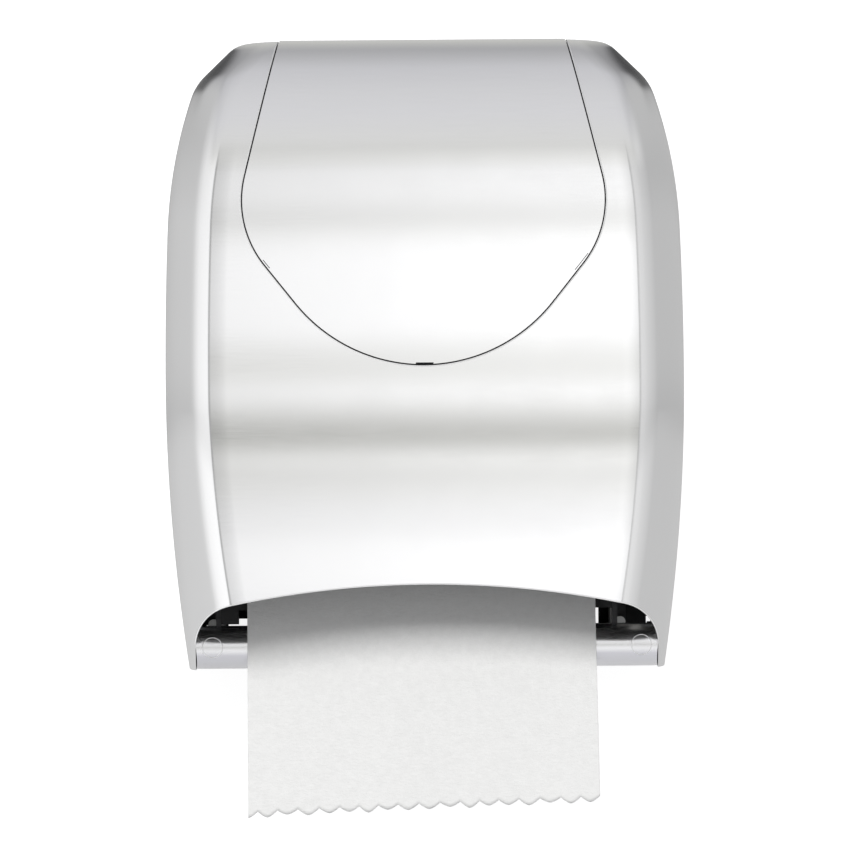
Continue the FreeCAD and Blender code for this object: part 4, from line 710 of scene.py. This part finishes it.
# The wrap's tint is lighter along long streaks: a painted sheen over its real gloss.
sheen = grain(tree, place, (1, 1, 0.2), 50.0)
film = tinted(tree, sheen, (0.030, 0.032, 0.036, 1), (0.05, 0.052, 0.058, 1))
faced(tree, shader, film, between(tree, grain(tree, place, (1, 1, 0.1), 70.0), 0.16, 0.3))
bumped(tree, shader, grain(tree, place, (1, 1, 0.08), 120.0), fold_depth)
dress_node(("battery_cells",), wrap)
board, tree, shader, place = new_finish("board_laminate")
track_scale, track_depth = 150.0, 2e-5
tracks = tree.nodes.new("ShaderNodeTexBrick")
tracks.inputs["Scale"].default_value = track_scale
tracks.inputs["Color1"].default_value = (0.012, 0.085, 0.035, 1)
tracks.inputs["Color2"].default_value = (0.016, 0.105, 0.045, 1)
tracks.inputs["Mortar"].default_value = (0.030, 0.17, 0.07, 1)
turn = tree.nodes.new("ShaderNodeMapping")
turn.inputs["Rotation"].default_value = (math.pi / 2, 0.0, 0.0)
tree.links.new(place, turn.inputs["Vector"])
tree.links.new(turn.outputs["Vector"], tracks.inputs["Vector"])
faced(tree, shader, tracks.outputs["Color"], between(tree, grain(tree, place, even, 300.0), 0.28, 0.42))
bumped(tree, shader, tracks.outputs["Fac"], track_depth)
dress_node(("circuit_board",), board)
component_black = moulded("component_epoxy", (0.014, 0.014, 0.015, 1), (0.022, 0.022, 0.023, 1), 0.48)
dress_node(("board_components", "microswitch"), component_black)


# Supply roll
# A hard-wound roll of paper towel on a spiral board core; its ends show the layers, slightly uneven.
# The layers are rings about the roll's axis in one white finish, and the core is brown board.

roll_y, roll_z = -0.118, 0.042
layer_scale, layer_depth, board_depth = 1500.0, 1.2e-4, 4e-5
roll, tree, shader, place = new_finish("roll_layers")
shift = tree.nodes.new("ShaderNodeVectorMath")
shift.operation = "SUBTRACT"
shift.inputs[1].default_value = (0.0, roll_y, roll_z)
tree.links.new(place, shift.inputs[0])
flat = tree.nodes.new("ShaderNodeVectorMath")
flat.operation = "MULTIPLY"
flat.inputs[1].default_value = (0.0, 1.0, 1.0)
tree.links.new(shift.outputs["Vector"], flat.inputs[0])
layers = tree.nodes.new("ShaderNodeTexNoise")
layers.inputs["Scale"].default_value = layer_scale
layers.inputs["Detail"].default_value = 2.0
away = tree.nodes.new("ShaderNodeVectorMath")
away.operation = "LENGTH"
tree.links.new(flat.outputs["Vector"], away.inputs[0])
line = tree.nodes.new("ShaderNodeCombineXYZ")
tree.links.new(away.outputs["Value"], line.inputs["X"])
tree.links.new(line.outputs["Vector"], layers.inputs["Vector"])
edges = tinted(tree, layers.outputs["Fac"], (0.66, 0.65, 0.63, 1), (0.86, 0.86, 0.85, 1))
faced(tree, shader, edges, between(tree, grain(tree, place, even, 800.0), 0.85, 0.98))
bumped(tree, shader, layers.outputs["Fac"], layer_depth)
dress_node(("paper_roll",), roll)
core, tree, shader, place = new_finish("core_board")
brown = tinted(tree, grain(tree, place, (0.4, 1, 1), 300.0), (0.30, 0.21, 0.13, 1), (0.40, 0.29, 0.19, 1))
faced(tree, shader, brown, between(tree, grain(tree, place, even, 500.0), 0.75, 0.92))
bumped(tree, shader, grain(tree, place, (0.2, 1, 1), 700.0), board_depth)
dress_node(("paper_core",), core)


# Towel
# One thin sheet of crepe paper, from the roll's rear round the driven roller and down past the blade.
# It was torn off on the teeth, so its end is a row of shallow scallops, pulled slightly askew.

sheet_left, sheet_right = -0.102, 0.096
sheet_width = sheet_right - sheet_left
sheet_thick = 0.0003
feed_y, feed_z, feed_reach = -0.140, -0.112, 0.0203
roll_radius, roll_gap, roll_wrap = 0.096, 0.0003, 0.5
roll_reach = roll_radius + roll_gap + sheet_thick / 2
hang_y, hang_z = -0.1634, -0.150
torn_left, torn_right, torn_bow = -0.2605, -0.2525, 0.8
scallops, scallop_depth, scallop_round = 17.5, 0.0032, 1.5
scallop_drift, drift_waves = 0.05, 19.0
scallop_uneven, uneven_turn = 0.18, 2.4
ripples = ((0.0007, 11.0, 0.6), (0.0004, 23.0, 2.0))  # height, waves, start
hang_spread, hang_even, hang_kick, hang_sway, ripple_growth = 0.0022, 0.15, 0.0002, 0.0012, 1.4
sheet_columns, wrap_rows, nip_rows, lean_rows, hang_rows = 421, 12, 26, 12, 46
towel_light, towel_shade = (0.87, 0.867, 0.855, 1), (0.80, 0.797, 0.785, 1)
crease_scale, crease_stretch = 620.0, (0.45, 1.0, 1.0)
fibre_depth, crease_depth, paper_gloss = 1.1e-4, 3.0e-4, 0.15


def crepe(name, white, shade, creases, across):
    """Crepe paper: fine cross creases, a soft fibre mottle and a very rough face."""
    material, tree, shader, place = new_finish(name)
    fibres = grain(tree, place, even, 1400.0, 5.0, 0.75)
    pleats = grain(tree, place, across, creases, 3.0, 0.65)
    cloud = grain(tree, place, even, 240.0, 3.0, 0.6)
    mixed = added(tree, between(tree, fibres, 0.0, 0.55), between(tree, cloud, 0.0, 0.45))
    faced(tree, shader, tinted(tree, mixed, shade, white, 0.1, 0.9), between(tree, fibres, 0.86, 0.98))
    shader.inputs["Specular IOR Level"].default_value = paper_gloss
    under = bumped(tree, shader, fibres, fibre_depth)
    bumped(tree, shader, pleats, crease_depth, under)
    return material


def towel_path():
    """The web's middle line as (y, z): off the roll's rear, round the driven roller, down to the blade."""
    dy, dz = feed_y - roll_y, feed_z - roll_z
    turn = math.atan2(dz, dy) + math.acos((roll_reach + feed_reach) / math.hypot(dy, dz))
    line = arc(roll_y, roll_z, roll_reach, turn + roll_wrap, turn, wrap_rows)
    line += arc(feed_y, feed_z, feed_reach, turn + math.pi, math.pi, nip_rows)
    nip_y = feed_y - feed_reach
    for t in np.linspace(0.0, 1.0, lean_rows + 1)[1:]:
        line.append((nip_y + (hang_y - feed_y + feed_reach) * t, feed_z + (hang_z - feed_z) * t))
    return line


def hanging_point(x, fall):
    """Where a spot of the free towel hangs: fall is 0 at the blade and 1 at the torn edge."""
    along = (x - sheet_left) / sheet_width
    drift = scallop_drift * math.sin(drift_waves * along)
    tooth = (x - sheet_left) / (sheet_width / scallops) + 0.5 + drift
    bite = abs(tooth % 1.0 - 0.5) * 2.0
    depth = scallop_depth * (1.0 + scallop_uneven * math.sin(uneven_turn * math.floor(tooth)))
    torn = torn_left + (torn_right - torn_left) * along ** torn_bow
    torn -= depth * (1.0 - bite ** scallop_round)
    ripple = sum(high * math.sin(waves * along + start) for high, waves, start in ripples)
    y = hang_y - hang_kick + ripple * fall ** ripple_growth - hang_sway * fall ** 2
    return x + hang_spread * (along - hang_even) * fall, y, hang_z + (torn - hang_z) * fall


wide = sheet_columns
columns = [sheet_left + sheet_width * i / (wide - 1) for i in range(wide)]
towel_line = towel_path()
points = [(x, y, z) for y, z in towel_line for x in columns]
points += [hanging_point(x, k / hang_rows) for k in range(1, hang_rows + 1) for x in columns]
rows = len(towel_line) + hang_rows
faces = []
for a in range(0, (rows - 1) * wide, wide):
    b = a + wide
    faces += [(a + i, a + i + 1, b + i + 1, b + i) for i in range(wide - 1)]
towel = mesh_piece("towel", points, faces)
towel.data.polygons.foreach_set("use_smooth", [True] * len(faces))
body = towel.modifiers.new("paper", "SOLIDIFY")
body.thickness, body.offset = sheet_thick, 0.0
dress(towel, crepe("towel_crepe", towel_light, towel_shade, crease_scale, crease_stretch))
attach(towel, "chassis")
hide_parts("towel_sheet", "paper_web")


# Room
# A plain white wall that the dispenser hangs on, coved into a pale floor, both seen from inside only.
# It is painted, with a glow of its own that keeps it even wherever it is seen.

wall_y, floor_z, cove = 0.0006, -1.25, 0.5
room_top_z, room_front_y, room_half = 2.4, -4.0, 3.5
room_paint, room_glow = 0.40, 0.90
cove_arc = arc(wall_y - cove, floor_z + cove, cove, 0.0, -math.pi / 2, 16)
profile = [(wall_y, room_top_z)] + cove_arc + [(room_front_y, floor_z)]
room_points = [(x, y, z) for y, z in profile for x in (-room_half, room_half)]
room_faces = [(2 * i, 2 * i + 2, 2 * i + 3, 2 * i + 1) for i in range(len(profile) - 1)]
room = mesh_piece("room", room_points, room_faces)
room_white = bpy.data.materials.new("room")
room_white.use_nodes = True
tree = room_white.node_tree
tree.nodes.clear()
output = tree.nodes.new("ShaderNodeOutputMaterial")
paint = tree.nodes.new("ShaderNodeBsdfDiffuse")
paint.inputs["Color"].default_value = (room_paint, room_paint, room_paint, 1.0)
glow = tree.nodes.new("ShaderNodeEmission")
glow.inputs["Strength"].default_value = room_glow
lit = tree.nodes.new("ShaderNodeAddShader")
tree.links.new(paint.outputs[0], lit.inputs[0])
tree.links.new(glow.outputs[0], lit.inputs[1])
clear = tree.nodes.new("ShaderNodeBsdfTransparent")
rays = tree.nodes.new("ShaderNodeLightPath")
side = tree.nodes.new("ShaderNodeNewGeometry")
front = tree.nodes.new("ShaderNodeMath")
front.operation = "MULTIPLY_ADD"
tree.links.new(side.outputs["Backfacing"], front.inputs[0])
front.inputs[1].default_value = -1.0
tree.links.new(rays.outputs["Is Camera Ray"], front.inputs[2])
shown = tree.nodes.new("ShaderNodeMixShader")
tree.links.new(front.outputs[0], shown.inputs[0])
tree.links.new(clear.outputs[0], shown.inputs[1])
tree.links.new(lit.outputs[0], shown.inputs[2])
tree.links.new(shown.outputs[0], output.inputs["Surface"])
dress(room, room_white)


# Light
# The silver mirrors a light map in the world, laid out by direction: long soft boxes from top to foot,
# shaded towards both sides. Only glossy rays see it; the rest of the light is plain, with two soft lamps.

world = bpy.data.worlds.new("studio")
bpy.context.scene.world = world
world.use_nodes = True
tree = world.node_tree
tree.nodes.clear()
output = tree.nodes.new("ShaderNodeOutputWorld")
direction = tree.nodes.new("ShaderNodeTexCoord")
parts = tree.nodes.new("ShaderNodeSeparateXYZ")
tree.links.new(direction.outputs["Generated"], parts.inputs[0])


def calc(how, *values):
    """One sum on the light map: each value is a number or another sum's result."""
    node = tree.nodes.new("ShaderNodeMath")
    node.operation = how
    for socket, value in zip(node.inputs, values):
        if isinstance(value, (int, float)):
            socket.default_value = value
        else:
            tree.links.new(value, socket)
    return node.outputs[0]


def rising(value, start, end):
    """Rises softly from 0 to 1 between two values."""
    spread = tree.nodes.new("ShaderNodeMapRange")
    spread.interpolation_type = "SMOOTHSTEP"
    spread.inputs["From Min"].default_value = start
    spread.inputs["From Max"].default_value = end
    tree.links.new(value, spread.inputs["Value"])
    return spread.outputs["Result"]


def blend(share, first_colour, second_colour, how="MIX"):
    """Mixes two colours by a share; the share and the colours are constants or sockets."""
    mix = tree.nodes.new("ShaderNodeMix")
    mix.data_type, mix.blend_type = "RGBA", how
    for socket, value in (("Factor", share), ("A", first_colour), ("B", second_colour)):
        if isinstance(value, (int, float, tuple)):
            mix.inputs[socket].default_value = value
        else:
            tree.links.new(value, mix.inputs[socket])
    return mix.outputs["Result"]


# turned: degrees away from straight ahead of the cover; side_turn and rise_turn: its two shares
turned = calc("MULTIPLY", calc("ARCCOSINE", calc("MULTIPLY", parts.outputs["Y"], -1.0)), 180.0 / math.pi)
reach = calc("ADD", calc("POWER", parts.outputs["X"], 2.0), calc("POWER", parts.outputs["Z"], 2.0))
reach = calc("MAXIMUM", calc("SQRT", reach), 1e-6)
side_turn = calc("MULTIPLY", turned, calc("DIVIDE", parts.outputs["X"], reach))
rise_turn = calc("MULTIPLY", turned, calc("DIVIDE", parts.outputs["Z"], reach))


def eased(degrees):
    """Where a turn in degrees lies on a map that is drawn out about its middle, from 0 to 1."""
    return 0.5 + math.copysign(0.5 * math.sqrt(abs(degrees) / 180.0), degrees)


def light_map(turn, stops):
    """A colour read off along a turn in degrees, from stops of (turn, red, green, blue)."""
    share = calc("SQRT", calc("DIVIDE", calc("ABSOLUTE", turn), 180.0))
    place_on_map = calc("ADD", calc("MULTIPLY", calc("MULTIPLY", share, calc("SIGN", turn)), 0.5), 0.5)
    node = tree.nodes.new("ShaderNodeValToRGB")
    while len(node.color_ramp.elements) < len(stops):
        node.color_ramp.elements.new(0.5)
    for element, stop in zip(node.color_ramp.elements, stops):
        element.position = eased(stop[0])
    for element, stop in zip(node.color_ramp.elements, stops):
        element.color = tuple(stop[1:4]) + (1.0,)
    tree.links.new(place_on_map, node.inputs["Fac"])
    return node.outputs["Color"]


film_reflects = 0.82


def film_value(grey):
    """Light needed for the silver to show a grey from 0 to 255."""
    level = grey / 255.0
    return (level / 12.92 if level <= 0.04045 else ((level + 0.055) / 1.055) ** 2.4) / film_reflects


# (rise in degrees, grey, how much bluer)
softboxes = (
    (-180, 186, 0), (-48, 206, 7), (-21, 262, 0), (-15.4, 262, 0), (-13.8, 251, 0), (-10.8, 246, 0),
    (-7.7, 237, -2), (-5.7, 224, -2), (-4.0, 252, -2), (-3.2, 240, -2), (-1.7, 194, -4), (-0.3, 174, -4),
    (1.4, 206, -3), (3.2, 238, -2), (5.2, 262, 0), (8.0, 233, -3), (10.5, 240, -2), (13.5, 262, 0),
    (24.4, 263, 0), (26.5, 254, -1), (28.9, 226, -2), (32.2, 250, 0), (35.9, 243, 0), (43.5, 227, -2),
    (51.3, 206, -2), (75, 202, 2), (91.5, 198, 2), (115.6, 188, 3), (131.8, 168, 2), (142, 158, 2),
    (159.9, 179, -3), (180, 186, 0),
)
# (turn to the side in degrees, share of light); the crown has its own
flanks = (
    (-180, 0.44), (-160, 0.54), (-144, 0.57), (-115, 0.63), (-90, 0.77), (-69, 0.88), (-50, 0.92),
    (-33, 0.94), (-15, 0.95), (-12, 0.40), (-8, 0.40), (-5, 0.58), (-0.9, 0.72), (-0.4, 0.87), (0.0, 1.0),
    (0.9, 1.10), (2.2, 1.12), (5, 0.54), (9, 0.54), (14, 0.72), (33, 0.70), (50, 0.64), (69, 0.60),
    (90, 0.56), (115, 0.51), (144, 0.49), (180, 0.46),
)
crown_flanks = (
    (-180, 0.44), (-154, 0.49), (-120, 0.58), (-97, 0.67), (-62, 0.90), (-30, 1.0), (0, 1.03), (30, 1.0),
    (62, 0.82), (97, 0.60), (120, 0.54), (154, 0.50), (180, 0.46),
)
rise_stops = [(a, *(film_value(v) for v in (g, g, g + b))) for a, g, b in softboxes]
rise_light = light_map(rise_turn, rise_stops)
side_light = light_map(side_turn, [(a, v, v, v) for a, v in flanks])
crown_light = light_map(side_turn, [(a, v, v, v) for a, v in crown_flanks])

# The sides see a plain light in place of the soft boxes, but not over the top.
off_span, top_span, level_span, crown_span = (3.0, 9.0), (20.0, 60.0), (0.55, 0.9), (38.0, 60.0)
tilt = calc("DIVIDE", calc("ABSOLUTE", parts.outputs["X"]), reach)
off_front = rising(calc("ABSOLUTE", side_turn), *off_span)
near_level = calc("SUBTRACT", 1.0, rising(tilt, *level_span))
past_top = calc("MULTIPLY", rising(rise_turn, *top_span), near_level)
plain_side = calc("MULTIPLY", off_front, calc("SUBTRACT", 1.0, past_top))
seen_light = blend(plain_side, rise_light, (1.0, 1.0, 1.0, 1.0))
flank_light = blend(rising(rise_turn, *crown_span), side_light, crown_light)
seen_light = blend(1.0, seen_light, flank_light, "MULTIPLY")

# The sides' plain light is a little stronger low down and high up, and fades again over the top.
lower_gain, upper_gain, fade_loss = 0.20, 0.13, 0.11
lower_span, upper_span, fade_span = (-3.0, -9.0), (-2.0, 6.0), (18.0, 42.0)
lower = calc("MULTIPLY", rising(rise_turn, *lower_span), lower_gain)
upper = calc("MULTIPLY", rising(rise_turn, *upper_span), upper_gain)
upper = calc("SUBTRACT", upper, calc("MULTIPLY", rising(rise_turn, *fade_span), fade_loss))
side_level = calc("ADD", calc("MULTIPLY", calc("ADD", lower, upper), plain_side), 1.0)

# The slanted corners of the crown see a dark patch behind and above.
facet_dark, facet_grazing = 0.78, 0.35
tilt_in, tilt_out, back_span = (0.46, 0.60), (0.93, 0.80), (156.0, 163.0)
above_span, grazing_span = (10.0, 30.0), (166.0, 180.0)
slanted = calc("MULTIPLY", rising(tilt, *tilt_in), rising(tilt, *tilt_out))
behind = calc("MULTIPLY", rising(turned, *back_span), rising(rise_turn, *above_span))
eased_off = calc("SUBTRACT", 1.0, calc("MULTIPLY", rising(turned, *grazing_span), facet_grazing))
facet = calc("MULTIPLY", calc("MULTIPLY", slanted, behind), eased_off)
side_level = calc("MULTIPLY", side_level, calc("SUBTRACT", 1.0, calc("MULTIPLY", facet, facet_dark)))
silver_light = tree.nodes.new("ShaderNodeBackground")
tree.links.new(side_level, silver_light.inputs["Strength"])
tree.links.new(seen_light, silver_light.inputs["Color"])
plain_tint, plain_strength = (0.97, 0.98, 1.0, 1.0), 0.38
plain_light = tree.nodes.new("ShaderNodeBackground")
plain_light.inputs["Color"].default_value = plain_tint
plain_light.inputs["Strength"].default_value = plain_strength
white = tree.nodes.new("ShaderNodeBackground")
white.inputs["Strength"].default_value = 1.0
rays = tree.nodes.new("ShaderNodeLightPath")
first = tree.nodes.new("ShaderNodeMixShader")
tree.links.new(rays.outputs["Is Glossy Ray"], first.inputs[0])
tree.links.new(plain_light.outputs[0], first.inputs[1])
tree.links.new(silver_light.outputs[0], first.inputs[2])
second = tree.nodes.new("ShaderNodeMixShader")
tree.links.new(rays.outputs["Is Camera Ray"], second.inputs[0])
tree.links.new(first.outputs[0], second.inputs[1])
tree.links.new(white.outputs[0], second.inputs[2])
tree.links.new(second.outputs[0], output.inputs["Surface"])


lamp_target = Vector((0.0, -0.1, -0.1))
key_place, key_size, key_power = (-0.45, -2.6, 1.15), (1.4, 0.8), 60.0
fill_place, fill_size, fill_power = (1.5, -2.8, 0.4), (1.2, 1.6), 7.0


def soft_box(name, place, size, power):
    """A rectangular lamp that faces the dispenser and isn't mirrored in it."""
    lamp = bpy.data.lights.new(name, "AREA")
    lamp.shape, lamp.size, lamp.size_y, lamp.energy = "RECTANGLE", size[0], size[1], power
    box = bpy.data.objects.new(name, lamp)
    bpy.context.scene.collection.objects.link(box)
    box.location = place
    box.rotation_euler = (lamp_target - Vector(place)).to_track_quat("-Z", "Y").to_euler()
    box.visible_glossy = False


soft_box("key_box", key_place, key_size, key_power)
soft_box("fill_box", fill_place, fill_size, fill_power)


# Camera
# A long lens a good way off, straight in front of the cover and a little below its middle.
# It is turned by a hair, so the wide edges stand as level as they are meant to be seen.

sensor, lens, farthest = 36.0, 583.6, 100.0
eye_place = (-0.0001, -8.0, -0.0408)
eye_roll = math.radians(0.45)
camera = bpy.data.cameras.new("camera")
camera.sensor_width, camera.lens = sensor, lens
camera.clip_end = farthest
eye = bpy.data.objects.new("camera", camera)
bpy.context.scene.collection.objects.link(eye)
eye.location = eye_place
eye.rotation_euler = (math.pi / 2, eye_roll, 0.0)
bpy.context.scene.camera = eye
bpy.context.scene.view_settings.view_transform = "Standard"
